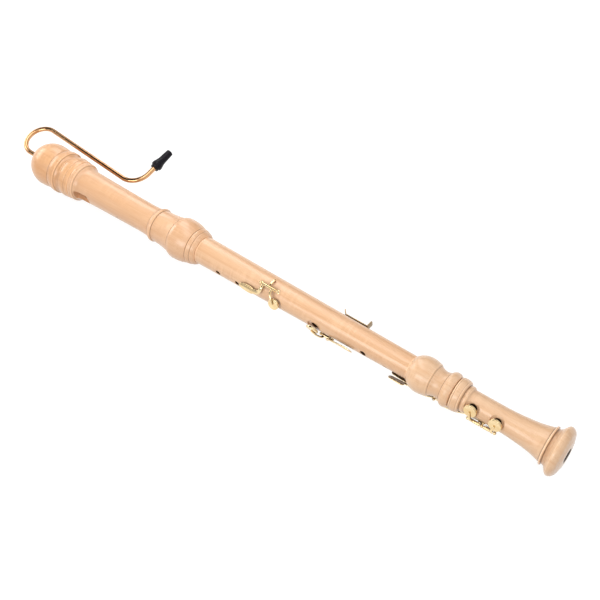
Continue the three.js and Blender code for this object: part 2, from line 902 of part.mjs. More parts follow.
// The cork sleeve that holds the pipe in the cap.
function pipeCork() {
  const high = capEnd - GAP;
  const low = high - PIPE.corkLength;
  const sleeve = [
    [PIPE.radius + GAP, low],
    [CAP.pipeHole - GAP, low],
    [CAP.pipeHole - GAP, high],
    [PIPE.radius + GAP, high],
  ];
  node("pipe_cork", join(ringed(sleeve, CUP_SIDES)), "cork");
}

// The mouthpiece, pushed over the pipe's end. Its own +Y runs from the pipe to the lips.
function mouthpiece() {
  const outside = turned(MOUTHPIECE_TURNING, MOUTHPIECE.faceRadius);
  const length = outside.at(-1).y;
  const inside = asPoints([
    [MOUTHPIECE.bore, length],
    [MOUTHPIECE.bore, MOUTHPIECE.grip + GAP],
    [PIPE.radius + GAP, MOUTHPIECE.grip + GAP],
    [PIPE.radius + GAP, 0],
  ]);
  const profile = [...outside, ...inside, outside[0].clone()];
  const end = pipeStations.at(-1);
  const aim = new THREE.Quaternion().setFromUnitVectors(new THREE.Vector3(0, 1, 0), end.tangent);
  const start = end.point.clone().addScaledVector(end.tangent, -MOUTHPIECE.grip);
  const geometry = new THREE.LatheGeometry(profile, SMALL_SIDES).applyQuaternion(aim);
  node("mouthpiece", join(geometry.translate(start.x, start.y, start.z)), "plastic");
}

// Keywork

const POST_NAMES = { 2: ["upper", "lower"], 3: ["upper", "middle", "lower"] };
const rodBore = KEYWORK.rodRadius / Math.cos(Math.PI / SMALL_SIDES) + RUNNING;

// A post: spigot in the wood, flange, stem and a ball with the rod's hole along the given direction.
function post(name, station, angle, wood, ballAt, bore, postFlange = KEYWORK.postFlange) {
  const { postStem, flangeThickness, postBall, postDepth } = KEYWORK;
  const seat = wood + GAP;
  const neck = ballAt - Math.sqrt(postBall ** 2 - postStem ** 2);
  const ballShares = [
    [1, 0],
    [Math.SQRT1_2, Math.SQRT1_2],
  ];
  const profile = [
    [0, wood - postDepth],
    [postStem, wood - postDepth],
    [postStem, seat],
    [postFlange, seat],
    [postFlange, seat + flangeThickness],
    [postStem, neck],
    ...ballShares.map(([out, up]) => [postBall * out, ballAt + postBall * up]),
    [0, ballAt + postBall],
  ];
  node(name, cut(join(stood(profile, station, angle, WIRE_SIDES)), bore), "brass");
}

// The posts and the rod of a hinge that lies parallel to the axis, with the space between two posts
// given for each key that turns there.
function hinge(key, offset, line) {
  const wood = Math.max(...key.posts.map((height) => radiusAt(line, offset + height)));
  const distance = wood + key.rodLift;
  const stations = key.posts.map((height) => offset + height);
  const reach = KEYWORK.postBall;
  const low = stations.at(-1) - reach;
  const high = stations[0] + reach;
  const bore = lying(rodBore, low - OVERRUN, high + OVERRUN, key.rodAngle, distance);
  stations.forEach((station, i) => {
    const under = radiusUnder(line, station, KEYWORK.postFlange);
    const place = POST_NAMES[stations.length][i];
    post(`${key.name}_post_${place}`, station, key.rodAngle, under, distance, bore);
  });
  node(`${key.name}_rod`, join(lying(KEYWORK.rodRadius, low, high, key.rodAngle, distance)), "steel");
  return stations.slice(1).map((station, i) => ({
    distance,
    bore,
    post: stations[i],
    low: station + reach + GAP,
    high: stations[i] - reach - GAP,
  }));
}

// Heights of the pad and cup over the axis with the key closed.
function cupLevels(seat) {
  const padLow = seat + GAP;
  const padHigh = padLow + KEYWORK.padThickness;
  const ceiling = padHigh + GAP;
  return { padLow, padHigh, rim: padLow + KEYWORK.padShow, ceiling, top: ceiling + KEYWORK.cupWall };
}

function cup(key, station, levels) {
  const wall = key.cupRadius - KEYWORK.cupWall;
  const profile = [
    [0, levels.top],
    [key.cupRadius - KEYWORK.cupEdge, levels.top],
    [key.cupRadius, levels.top - KEYWORK.cupEdge / 2],
    [key.cupRadius, levels.rim],
    [wall, levels.rim],
    [wall, levels.ceiling],
    [0, levels.ceiling],
  ];
  return stood(profile, station, key.cupAngle, CUP_SIDES);
}

// The arm from the tube, up over the wood and down to the middle of the cup.
function cupArm(key, station, armStation, distance, levels) {
  const top = levels.top + KEYWORK.armRadius - WELD;
  const side = Math.sign(key.rodAngle - key.cupAngle);
  const edge = Math.atan2(key.cupRadius, top) * (180 / Math.PI) * side;
  const rim = Math.hypot(key.cupRadius, top);
  const share = CUP_ARM.overShare;
  const between = key.cupAngle + edge + (key.rodAngle - key.cupAngle - edge) * share;
  const points = [
    spot(armStation, key.rodAngle, distance + WELD),
    spot(armStation, between, Math.max(rim, distance) + WELD),
    spot(armStation + (station - armStation) * share, key.cupAngle + edge, rim),
    spot(station, key.cupAngle, top),
  ];
  return wire(points, KEYWORK.armRadius);
}

// A small catch under the tube that the spring's tip bears on.
function springCatch(key, distance, low) {
  const high = distance;
  const deep = distance - KEYWORK.springDrop - KEYWORK.springRadius;
  const width = KEYWORK.rodRadius;
  const box = new THREE.BoxGeometry(KEYWORK.catchLength, width, high - deep);
  const aside = KEYWORK.springRadius + GAP + width / 2;
  box.translate(0, aside * Math.sign(key.opens), (high + deep) / 2);
  return placed(box, low + KEYWORK.catchLength, key.rodAngle);
}

// A straight needle spring from beside the post above to the catch under the tube.
function needleSpring(key, hinged) {
  const high = hinged.post - KEYWORK.postFlange - GAP;
  const low = hinged.low + KEYWORK.catchLength / 2;
  const distance = hinged.distance - KEYWORK.springDrop;
  const needle = lying(KEYWORK.springRadius, low, high, key.rodAngle, distance, FINE_SIDES);
  node(`${key.name}_spring`, join(needle), "steel");
}

// A pivot group on the hinge line, swung open, that takes geometry made in the closed place.
function openPivot(key, distance) {
  const place = spot(0, key.rodAngle, distance);
  const pivot = new THREE.Group();
  pivot.position.copy(place);
  pivot.rotation.x = radians(key.opens);
  const closed = new THREE.Group();
  closed.position.copy(place).negate();
  pivot.add(closed);
  group.add(pivot);
  return closed;
}

// One key: tube, cup and arm joined with what works it, and its pad, both swung open.
function swungKey(key, offset, line, hinged, working) {
  const station = offset + key.cupHeight;
  const levels = cupLevels(seatOf(key, radiusAt(line, station)));
  const tube = lying(KEYWORK.tubeRadius, hinged.low, hinged.high, key.rodAngle, hinged.distance);
  const arm = cupArm(key, station, offset + key.cupArm, hinged.distance, levels);
  const catchBox = springCatch(key, hinged.distance, hinged.low);
  const closed = openPivot(key, hinged.distance);
  const body = join(tube, cup(key, station, levels), arm, catchBox, ...working);
  node(key.name, cut(body, hinged.bore), "brass", closed);
  const pad = standing(padRadiusOf(key), levels.padLow, levels.padHigh, station, key.cupAngle, CUP_SIDES);
  node(`${key.name}_pad`, join(pad), "pad", closed);
  return closed;
}

// The touch of a finger key, its arm, and the heel whose felt stops the key open.
function fingerKey(key) {
  const [hinged] = hinge(key, footEnd, middleLine);
  const touchMiddle = footEnd + key.touchMiddle;
  const wood = radiusAt(middleLine, touchMiddle);
  const inner = wood + key.touchLift;
  const outline = touchOutline(key.touchLength, key.touchWidth, TOUCH_FAR_SHARE);
  const touch = curvedPlate(outline, inner, KEYWORK.plateThickness, touchMiddle, key.touchAngle);
  const armAt = footEnd + key.touchArm;
  const crest = inner + KEYWORK.plateThickness / 2;
  const landing = footEnd + key.touchNear + (key.touchMiddle - key.touchNear) * TOUCH_ARM.inShare;
  const part = (share) => key.rodAngle + (key.touchAngle - key.rodAngle) * share;
  const arm = wire(
    [
      spot(armAt, key.rodAngle, hinged.distance + WELD),
      spot(armAt, part(TOUCH_ARM.riseShare), Math.max(crest, hinged.distance) + WELD),
      spot(armAt + (landing - armAt) * TOUCH_ARM.alongShare, part(TOUCH_ARM.landShare), crest + WELD),
      spot(landing, key.touchAngle, crest),
    ],
    KEYWORK.armRadius,
  );
  const heel = fingerHeel(key, hinged);
  const closed = swungKey(key, footEnd, middleLine, hinged, [touch, arm, heel.strip]);
  node(`${key.name}_heel_felt`, join(heel.felt), "felt", closed);
  needleSpring(key, hinged);
}

// The heel reaches round from the tube; open, its felt lies on the wood. Drawn as the key is closed.
function fingerHeel(key, hinged) {
  const station = footEnd + key.heelHeight;
  const wood = radiusAt(middleLine, station);
  const rest = wood + GAP + KEYWORK.feltThickness + KEYWORK.plateThickness / 2 + GAP;
  const hingeAt = spot(0, key.rodAngle, hinged.distance);
  const turn = radians(-key.opens);
  const swing = (angle, radius) => {
    const place = spot(0, angle, radius).sub(hingeAt);
    place.applyAxisAngle(new THREE.Vector3(1, 0, 0), turn).add(hingeAt);
    return [(Math.atan2(-place.y, place.z) * 180) / Math.PI, place.length()];
  };
  const part = (share) => key.rodAngle + (key.heelAngle - key.rodAngle) * share;
  const line = [
    [key.rodAngle, hinged.distance],
    swing(part(HEEL.outShare), hinged.distance + WELD),
    swing(part(HEEL.dropShare), rest + (hinged.distance - rest) * HEEL.levelShare),
    swing(key.heelAngle, rest),
  ];
  const felt = [HEEL.feltShare, 1].map((share) =>
    swing(part(share), rest - KEYWORK.plateThickness / 2 - GAP - KEYWORK.feltThickness / 2),
  );
  return {
    strip: crossStrip(line, KEYWORK.plateThickness, station, key.heelWidth),
    felt: crossStrip(felt, KEYWORK.feltThickness, station, key.heelWidth),
  };
}

// Foot levers

const leverPivot = footAt.cove.middle;
const leverAngle = LEVER_PAIR.planeAngle;

// The two posts stand radially, so their angle follows from how far apart the balls are.
const leverPosts = [-1, 1].map((side) => {
  const aside = (side * LEVER_PAIR.postSpread) / 2;
  return {
    side,
    station: leverPivot,
    angle: leverAngle - (Math.atan2(aside, LEVER_PAIR.pivotRadius) * 180) / Math.PI,
    distance: Math.hypot(aside, LEVER_PAIR.pivotRadius),
    wood: radiusUnder(footLine, leverPivot, LEVER_PAIR.postFlange),
  };
});

// A bar across the levers' plane through the pivot.
function leverBar(radius, low, high) {
  const bar = new THREE.CylinderGeometry(radius, radius, high - low, SMALL_SIDES);
  bar.translate(0, (low + high) / 2, LEVER_PAIR.pivotRadius);
  return placed(bar, leverPivot, leverAngle);
}

// The side of a lever: over the bulb to its touch, and over the beads to the tab of its pad key.
function leverLine(tabStation) {
  const half = LEVER_PAIR.thickness / 2;
  const over = (station, clearance) => [station, radiusAt(footLine, station) + clearance + half];
  const { bulbClearance, beadClearance, tailClearance, tailReach } = LEVER_PAIR;
  const pairs = [
    [footEnd + LEVER_PAIR.touchLow + LEVER_PAIR.width, LEVER_PAIR.touchRadius + half],
    over(footAt.bulbTop.middle, bulbClearance),
    over(footAt.bulb.high, bulbClearance),
    over(footAt.bulb.middle, bulbClearance),
    over(footAt.bulb.low, bulbClearance),
    [leverPivot, LEVER_PAIR.pivotRadius],
    over(footAt.bigBead.middle, beadClearance),
    over(footAt.smallBead.middle, beadClearance),
    over(footAt.shoulder.low, tailClearance),
    [tabStation - tailReach, radiusAt(footLine, tabStation) + tailClearance + half],
  ];
  return pairs.map(([station, distance]) => new THREE.Vector2(-station, distance));
}

function lever(spec) {
  const key = footPadKeys.find((each) => LEVERS[each.lever] === spec);
  const aside = (spec.side * LEVER_PAIR.spacing) / 2;
  const strip = new THREE.ExtrudeGeometry(stripShape(leverLine(key.tabHeight), LEVER_PAIR.thickness), {
    depth: LEVER_PAIR.width,
    bevelEnabled: false,
  });
  strip.rotateX(Math.PI / 2).translate(0, LEVER_PAIR.width / 2 + aside, 0);
  const ends = [(spec.side * GAP) / 2, aside + (spec.side * LEVER_PAIR.width) / 2];
  const barrel = leverBar(LEVER_PAIR.barrelRadius, Math.min(...ends), Math.max(...ends));
  const low = footEnd + LEVER_PAIR.touchLow;
  const high = footEnd + LEVER_PAIR.touchHigh + spec.extra;
  const outline = touchOutline(high - low, LEVER_PAIR.touchWidth, LEVER_FAR_SHARE);
  const angle = leverAngle - spec.side * LEVER_PAIR.touchAngle;
  const touch = curvedPlate(outline, LEVER_PAIR.touchRadius, LEVER_PAIR.thickness, (low + high) / 2, angle);
  const bore = leverBar(rodBore, -LEVER_PAIR.postSpread, LEVER_PAIR.postSpread);
  node(spec.name, cut(join(placed(strip, 0, leverAngle), barrel, touch), bore), "brass");
  leverFelt(spec, key, aside);
}

// The felt under a lever's tail, which rests on the wood.
function leverFelt(spec, key, aside) {
  const station = key.tabHeight - LEVER_PAIR.tailReach / 2;
  const wood = radiusAt(footLine, station);
  const low = Math.sqrt(wood ** 2 - (Math.abs(aside) - LEVER_PAIR.width / 2) ** 2) + GAP;
  const high = wood + LEVER_PAIR.tailClearance - GAP;
  const felt = new THREE.BoxGeometry(LEVER_PAIR.tailReach, LEVER_PAIR.width - GAP, high - low);
  felt.translate(0, aside, (low + high) / 2);
  node(`${spec.name}_felt`, join(placed(felt, station, leverAngle)), "felt");
}

function leverPair() {
  const reach = LEVER_PAIR.postSpread / 2 + KEYWORK.postBall;
  const bore = leverBar(rodBore, -reach - OVERRUN, reach + OVERRUN);
  for (const { side, station, angle, distance, wood } of leverPosts) {
    const name = side > 0 ? "lever_post_near" : "lever_post_far";
    post(name, station, angle, wood, distance, bore, LEVER_PAIR.postFlange);
  }
  node("lever_rod", join(leverBar(KEYWORK.rodRadius, -reach, reach)), "steel");
  LEVERS.forEach(lever);
}

// A pad key of the foot: its tab reaches over the tail of its lever.
function footKey(key, hinged) {
  const spec = LEVERS[key.lever];
  const aside = (spec.side * LEVER_PAIR.spacing) / 2;
  const wood = radiusAt(footLine, key.tabHeight);
  const tailTop = wood + LEVER_PAIR.tailClearance + LEVER_PAIR.thickness;
  const over = tailTop + GAP + KEYWORK.plateThickness / 2;
  const hingeAt = spot(0, key.rodAngle, hinged.distance);
  const turn = radians(-key.opens);
  const axis = new THREE.Vector3(1, 0, 0);
  const swing = (sideways, height) => {
    const place = new THREE.Vector3(0, sideways, height).applyAxisAngle(axis, radians(leverAngle));
    place.sub(hingeAt).applyAxisAngle(axis, turn).add(hingeAt);
    return [(Math.atan2(-place.y, place.z) * 180) / Math.PI, place.length()];
  };
  const outer = aside + LEVER_PAIR.width / 2 + LEVER_PAIR.thickness;
  const inner = aside - LEVER_PAIR.width / 2;
  const line = [[key.rodAngle, hinged.distance], swing(outer, over), swing(inner, over)];
  const tab = crossStrip(line, KEYWORK.plateThickness, key.tabHeight, key.tabWidth);
  swungKey(key, 0, footLine, hinged, [tab]);
  needleSpring(key, hinged);
}

function footKeys() {
  const places = hinge(footHinge, 0, footLine);
  footPadKeys.forEach((key, i) => footKey(key, places[i]));
}

// Thumb rest

function thumbRest() {
  const low = footEnd + THUMB_REST.height;
  const high = low + THUMB_REST.length;
  const half = THUMB_REST.thickness / 2;
  const level = radiusAt(middleLine, high) + GAP + half;
  const line = [
    [low - THUMB_REST.lowerLean, level + THUMB_REST.lowerTab],
    [low, level],
    [high, level],
    [high + THUMB_REST.upperReach, level + THUMB_REST.upperTab],
  ].map(([station, distance]) => new THREE.Vector2(-station, distance));
  const plate = new THREE.ExtrudeGeometry(stripShape(line, THUMB_REST.thickness), {
    depth: THUMB_REST.width,
    bevelEnabled: false,
  });
  plate.rotateX(Math.PI / 2).translate(0, THUMB_REST.width / 2, 0);
  const screw = low + THUMB_REST.screwInset;
  const wood = radiusAt(middleLine, screw);
  const loose = THUMB_REST.screwRadius + GAP;
  const hole = standing(loose, wood - OVERRUN, level + OVERRUN, screw, BACK, WIRE_SIDES);
  node("thumb_rest", cut(join(placed(plate, 0, BACK)), hole), "brass");
  const seat = level + half + GAP;
  const profile = [
    [0, wood - THUMB_REST.screwDepth],
    [THUMB_REST.screwRadius, wood - THUMB_REST.screwDepth],
    [THUMB_REST.screwRadius, seat],
    [THUMB_REST.headRadius, seat],
    [THUMB_REST.headRadius, seat + THUMB_REST.headHeight / 2],
    [THUMB_REST.headRadius / 2, seat + THUMB_REST.headHeight],
    [0, seat + THUMB_REST.headHeight],
  ];
  node("thumb_rest_screw", join(stood(profile, screw, BACK)), "brass");
}

// Assembly

footJoint();
middleJoint();
headJoint();
block();
cap();
lapping("lower_tenon_cork", footEnd + GAP, MIDDLE.lowerTenonLength, FOOT.socketRadius, -1);
lapping("upper_tenon_cork", middleEnd - GAP, MIDDLE.upperTenonLength, HEAD.socketRadius, 1);
lapping("cap_tenon_cork", headEnd, HEAD.tenonLength, CAP.socketRadius, 1);
blowingPipe();
pipeCork();
mouthpiece();
thumbRest();
fingerKeys.forEach(fingerKey);
footKeys();
leverPair();

// The origin is under the middle of the whole instrument, on the surface it lies on.
group.updateMatrixWorld(true);
const box = new THREE.Box3().setFromObject(group, true);
const middle = box.getCenter(new THREE.Vector3());
group.position.set(-middle.x, -middle.y, -box.min.z);

export default group;
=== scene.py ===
"""Finish of a bass recorder: smooth wood, brass, cork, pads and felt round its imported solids.

Sizes are in millimetres until a mesh is made. A station is a distance along the axis from the bell
end toward the cap, so it runs toward -X. An angle round the axis is in degrees from the top (+Z)
through the finger side (-Y at 90), and a radius is a distance from the axis.
"""

import json
import math

import bmesh
import bpy
import numpy as np
from bpy.props import FloatProperty, FloatVectorProperty, PointerProperty
from mathutils import Matrix, Quaternion, Vector

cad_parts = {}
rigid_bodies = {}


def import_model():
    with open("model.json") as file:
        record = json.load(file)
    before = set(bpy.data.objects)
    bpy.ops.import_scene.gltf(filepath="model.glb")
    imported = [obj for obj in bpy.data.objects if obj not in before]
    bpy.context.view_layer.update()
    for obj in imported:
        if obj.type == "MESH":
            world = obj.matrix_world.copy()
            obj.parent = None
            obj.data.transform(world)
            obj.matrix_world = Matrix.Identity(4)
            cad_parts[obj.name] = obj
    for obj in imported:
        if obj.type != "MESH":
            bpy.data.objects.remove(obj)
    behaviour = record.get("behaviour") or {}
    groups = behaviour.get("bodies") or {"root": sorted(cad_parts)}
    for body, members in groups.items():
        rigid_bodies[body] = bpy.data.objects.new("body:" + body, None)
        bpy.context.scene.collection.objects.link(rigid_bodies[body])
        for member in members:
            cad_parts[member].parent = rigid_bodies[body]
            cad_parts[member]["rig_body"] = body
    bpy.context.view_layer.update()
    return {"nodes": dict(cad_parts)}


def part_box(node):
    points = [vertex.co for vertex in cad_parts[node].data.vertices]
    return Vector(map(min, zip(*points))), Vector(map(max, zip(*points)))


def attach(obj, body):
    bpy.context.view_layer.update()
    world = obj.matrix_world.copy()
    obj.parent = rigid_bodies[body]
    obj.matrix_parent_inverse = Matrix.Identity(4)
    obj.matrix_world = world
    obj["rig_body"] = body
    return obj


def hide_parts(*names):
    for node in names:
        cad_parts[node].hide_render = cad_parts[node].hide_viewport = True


bl_info = {
    "name": "Bass recorder",
    "version": (1, 0, 0),
    "blender": (4, 5, 0),
    "location": "View3D > Sidebar > Recorder",
    "description": "Builds the finished surfaces of a bass recorder round its packed solids",
    "category": "Add Mesh",
}

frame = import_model()

MM = 0.001

# The axis and the bell end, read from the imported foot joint
FOOT_LOW, FOOT_HIGH = (np.array(corner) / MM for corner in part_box("foot_joint"))
ORIGIN = np.array([FOOT_HIGH[0], (FOOT_LOW[1] + FOOT_HIGH[1]) / 2, (FOOT_LOW[2] + FOOT_HIGH[2]) / 2])

# Points round a turned joint, a cork band, a seat or a block, a cup, a hole, a post, a bar, an arm and
# a needle
WOOD_SIDES = 192
BAND_SIDES = 128
SEAT_SIDES = 96
CUP_SIDES = 72
HOLE_SIDES = 64
POST_SIDES = 48
SMALL_SIDES = 40
ARM_SIDES = 24
NEEDLE_SIDES = 16

# The clearances that the solids keep: in general, and round the rods
GAP = 0.3
RUNNING = 0.06

# How far a cut runs past the wood, a chamfer past its surface, and joined parts into each other
OVERRUN = 3.0
CHAMFER_OVERRUN = 0.1
WELD = 0.4

# Degrees between faces from which their edge is shaded sharp
SHARP_TURN = 38.0

# Angles of the finger side and the thumb side
FRONT = 90.0
BACK = -90.0

# Turned outlines from the lower end: length, radius at the upper end, and how far the arc stands out
FOOT = dict(face=16.0, exit_bore=10.3, exit_depth=6.0, lower_bore=9.3, socket=14.8, socket_depth=31.0)
FOOT_ROWS = dict(
    rim_face=(2.2, 26.0, 0.4),
    rim_front=(6.4, 35.6, 1.6),
    rim_back=(5.4, 35.4, 0.7),
    rim_under=(5.0, 28.6, 0.3),
    rim_cove=(4.6, 25.9, -0.4),
    rim_crease=(0.8, 25.8, 0.0),
    bead_side=(0.4, 27.0, 0.0),
    rim_bead=(2.9, 27.0, 1.5),
    bead_step=(0.5, 25.8, 0.0),
    flare=(33.8, 19.1, -1.1),
    lower_neck=(38.0, 16.8, -0.5),
    upper_neck=(43.0, 16.9, 0.0),
    shoulder=(2.5, 18.3, -0.3),
    ring_foot=(0.5, 19.0, 0.0),
    ring=(5.2, 19.0, 0.7),
    groove=(1.0, 19.2, 0.0),
    small_bead_foot=(2.2, 23.2, 0.5),
    small_bead=(10.8, 24.3, 0.7),
    small_bead_head=(2.2, 21.0, 0.5),
    big_bead=(15.6, 21.8, 4.7),
    cove=(18.0, 23.4, -2.7),
    step=(1.0, 24.2, 0.0),
    bulb=(16.7, 27.0, 0.9),
    bulb_top=(18.3, 18.9, 1.9),
)
MIDDLE = dict(face=17.7, lower_bore=9.7, upper_bore=13.6, lower_tenon=30.0, upper_tenon=34.0)
MIDDLE_ROWS = dict(shaft=(380.0, 21.9, 0.0))
HEAD = dict(face=23.2, bore=14.5, socket=17.3, socket_depth=35.0, tenon=30.0)
HEAD_ROWS = dict(
    mouth=(7.0, 27.5, 0.9),
    lip=(6.4, 29.4, 0.4),
    groove_in=(1.2, 28.5, 0.0),
    groove_out=(1.4, 29.4, 0.0),
    bulb=(22.0, 33.7, 1.3),
    bulb_top=(12.0, 31.4, 1.0),
    step=(1.0, 30.4, 0.0),
    neck=(27.0, 26.4, -0.7),
    cove=(9.0, 26.4, -0.3),
    ring=(6.6, 26.0, 1.9),
    ring_step=(2.6, 24.5, -0.2),
    lower_barrel=(26.0, 23.4, -0.3),
    barrel=(76.0, 24.6, 0.0),
    upper_barrel=(39.0, 25.7, 0.0),
    collar=(8.0, 26.3, -0.2),
    flare=(9.0, 30.8, -1.1),
    flare_step=(0.8, 31.4, 0.0),
    top_ring=(8.4, 31.8, 0.6),
)
CAP = dict(face=32.3, socket=22.4, socket_depth=31.0, chamber=17.0, chamber_length=34.0, pipe_hole=6.6)
CAP_ROWS = dict(
    lower_band=(7.6, 33.4, 0.2),
    band=(11.2, 33.2, 0.7),
    band_edge=(1.6, 32.6, 0.0),
    cove=(9.2, 34.2, -1.5),
    bead_foot=(1.0, 35.1, 0.0),
    bead=(11.0, 34.6, 0.8),
    neck=(3.8, 33.3, -0.4),
    lower_dome=(19.2, 35.8, 0.5),
    dome=(35.6, 7.4, 8.0),
)
LAPPING = dict(shoulder=4.0, groove=1.25)
VOICE = dict(
    window_top=252.1, window=7.0, width=17.0, windway=1.2, windway_floor=0.72, labium=0.7, ramp=25.0,
    bevel=1.5,
)

# Open tone holes of the middle joint: height over its lower shoulder, angle and radius
TONE_HOLES = (
    (334.0, FRONT, 4.2), (297.0, FRONT, 4.2), (71.0, FRONT, 4.8), (34.0, 108.0, 4.2), (348.0, BACK, 4.0),
)
HOLE_CHAMFER = 0.5
SEAT_CHAMFER = 0.4

# How deep the wall of a hole stays free of painted shade: under the outline, in the head, and under a
# # pad's seat, and how much faster the painted shade deepens down a hole's wall than down the bore's
CLEAR_DEPTH = 3.0
HEAD_CLEAR_DEPTH = 9.3
SEAT_CLEAR_DEPTH = 0.6
HOLE_SHADE_RATE = 3.0

PIPE = dict(
    plane=-87.0, radius=4.0, bore=3.1, in_cap=25.0, straight_out=18.3, loop_radius=27.3, loop_turn=184.6,
    run=175.0, end_radius=30.0, end_turn=92.0, end=25.0, cork=23.0, lip=0.25, lip_share=0.03,
)
MOUTHPIECE = dict(grip=12.0, bore=1.8, face=6.6)
MOUTHPIECE_ROWS = dict(
    collar=(2.6, 7.0, 0.3),
    collar_groove=(0.9, 6.9, 0.0),
    flank=(1.8, 9.1, 0.0),
    body=(5.2, 8.8, 0.2),
    waist=(12.0, 6.4, -0.5),
    beak=(15.5, 5.7, 0.1),
    tip=(1.8, 4.8, 0.3),
)

KEYWORK = dict(
    rod=1.1, tube=2.3, arm=1.5, cup_wall=1.0, cup_edge=1.2, pad_show=1.1, pad=3.0, seat_dip=0.3,
    seat_margin=1.2, plate=1.5, ball=2.5, stem=1.4, flange=3.0, flange_thickness=1.0, depth=4.0,
    spring=0.45, spring_drop=3.5, spring_tip=0.55, catch=2.0, felt=1.4,
)
CUP = dict(
    crown=0.25, shoulder_in=0.35, shoulder_drop=0.12, side_drop=0.6, bead=0.15, bead_low=0.2,
    bead_high=0.5,
)
PAD = dict(ring=0.8, ring_width=0.5, ring_depth=0.12, edge=0.5)
POST = dict(edge=0.3, shoulder=0.72, swell=0.25, swell_height=0.35)
COLLAR = dict(rise=0.2, length=1.0)

# A key's arm: its broad side, its thickness as a share of the solid's, the reach of its rounded ends
# and how blunt they stay, and its width at a cup and at a touch as a share of its root's
ARM = dict(width=4.0, thickness=0.9, end=1.2, blunt=0.35, at_cup=0.8, at_touch=1.9)

# Heights of the keys are over the lower end of the joint that carries them
LEFT_KEY = dict(
    name="left_key", cup_height=225.0, cup_angle=77.0, cup_radius=9.0, hole=5.0, rod_angle=25.0,
    rod_lift=4.6, posts=(256.0, 226.0), opens=-10.5, cup_arm=234.0, touch_arm=250.8, touch_angle=71.0,
    touch_lift=0.9, touch_low=261.0, touch_high=289.0, touch_width=13.4, heel_height=240.4,
    heel_angle=-12.0, heel_width=3.0,
)
RIGHT_KEY = dict(
    name="right_key", cup_height=156.0, cup_angle=92.0, cup_radius=9.8, hole=5.6, rod_angle=140.0,
    rod_lift=4.6, posts=(147.4, 127.4), opens=12.0, cup_arm=142.6, touch_arm=132.2, touch_angle=98.0,
    touch_lift=0.9, touch_low=87.0, touch_high=121.0, touch_width=14.0, heel_height=137.4,
    heel_angle=180.0, heel_width=3.0,
)
FOOT_KEY = dict(
    name="foot_key", cup_angle=54.0, cup_radius=9.6, rod_angle=108.0, rod_lift=5.0,
    posts=(135.6, 114.2, 94.8), opens=15.0, tab_width=6.0,
)
FOOT_KEYS = (
    dict(
        FOOT_KEY, name="foot_key_upper", cup_height=134.4, hole=6.4, cup_arm=129.4, tab_height=121.0,
        lever=0,
    ),
    dict(
        FOOT_KEY, name="foot_key_lower", cup_height=96.6, hole=5.8, cup_arm=100.6, tab_height=107.0,
        lever=1,
    ),
)
LEVER_PAIR = dict(
    plane=152.0, pivot=23.4, barrel=2.0, spacing=4.4, width=3.4, thickness=1.8, edge=0.5,
    post_spread=13.6, flange=2.0, bulb_clearance=2.0, bead_clearance=1.6, tail_clearance=2.1,
    tail_reach=5.0, touch_radius=27.6, touch_low=2.0, touch_high=28.0, touch_width=12.0, touch_turn=13.5,
)
LEVERS = (dict(name="lever_near", side=1, extra=0.0), dict(name="lever_far", side=-1, extra=1.6))
THUMB_REST = dict(
    lower_end=89.5, upper_end=127.0, width=12.0, thickness=1.6, edge=0.5, lower_tab=11.0, lower_lean=1.2,
    upper_tab=7.6, upper_reach=6.0, end_reach=3.0, end_width=0.5, end_thickness=0.4, screw_height=110.5,
    screw=1.3, screw_depth=8.0, tip=0.5, tip_length=2.0, head=2.7, head_edge=0.5, head_height=1.9,
)
SLOT = dict(width=0.7, depth=0.8, edge=0.05)

# Black flags round the stage: direction and half width in radians, and the share of it that is full
FLAGS = (((-0.5, -0.1, 0.86), 0.64), ((-0.4, 0.9, 0.1), 0.42), ((-0.2, -0.55, 0.8), 0.24))
FLAG_CORE = 0.75

# Lamps: name, the setting of its power, the ends of its long side in metres, and its width
LAMPS = (
    ("strip_light", "strip_power", (0.14, -0.19, 1.5), (-1.09, 1.16, 0.36), 0.45),
    ("soft_box_front", "front_power", (-0.65, -1.5, 1.1), (0.75, -1.5, 1.1), 0.8),
    ("soft_box_head", "head_power", (-1.7, -0.5, 0.7), (-1.7, 0.5, 0.7), 0.8),
)
LAMP_TARGET = (0.0, 0.0, 0.03)

# Width of the camera's sensor in millimetres
SENSOR = 36.0

WHITE = (1.0, 1.0, 1.0, 1.0)

# Shares of the way at which arms and heels turn, and how touches narrow
CUP_ARM_SHARE = 0.5
TOUCH_RISE_SHARE, TOUCH_LAND_SHARE, TOUCH_ALONG_SHARE, TOUCH_IN_SHARE = 0.35, 0.8, 0.25, 0.3
HEEL_OUT_SHARE, HEEL_DROP_SHARE, HEEL_LEVEL_SHARE, HEEL_FELT_SHARE = 0.35, 0.7, 0.33, 0.72
TOUCH_FAR_SHARE = 0.7
LEVER_FAR_SHARE = 0.8


# Outlines


def arc(start, end, rise, count):
    """Points of the arc over the chord from start to end that stands out by rise, without the start."""
    start, end = np.array(start, float), np.array(end, float)
    if not rise:
        return end[None]
    chord = end - start
    half = np.hypot(*chord) / 2
    along = chord / (2 * half)
    across = np.array([along[1], -along[0]])
    turn = 2 * math.atan(rise / half)
    radius = half / math.sin(turn)
    centre = (start + end) / 2 - across * radius * math.cos(turn)
    angle = np.linspace(-turn, turn, count + 1)[1:, None]
    return centre + across * radius * np.cos(angle) + along * radius * np.sin(angle)


def turned(rows, face, station=0.0, count=24):
    """The outline (radius, station) of a turned piece: each row is an arc on top of the last."""
    line = [np.array([[face, station]])]
    for length, radius, rise in rows.values():
        station += length
        line.append(arc(line[-1][-1], (radius, station), rise, count))
    return np.vstack(line)


def row_spans(rows, station=0.0):
    """The low end, middle and high end of each row."""
    spans = {}
    for name, (length, _, _) in rows.items():
        spans[name] = (station, station + length / 2, station + length)
        station += length
    return spans


def radius_at(line, station):
    """The outline's radius at a station, straight between its points."""
    return float(np.interp(station, line[:, 1], line[:, 0]))


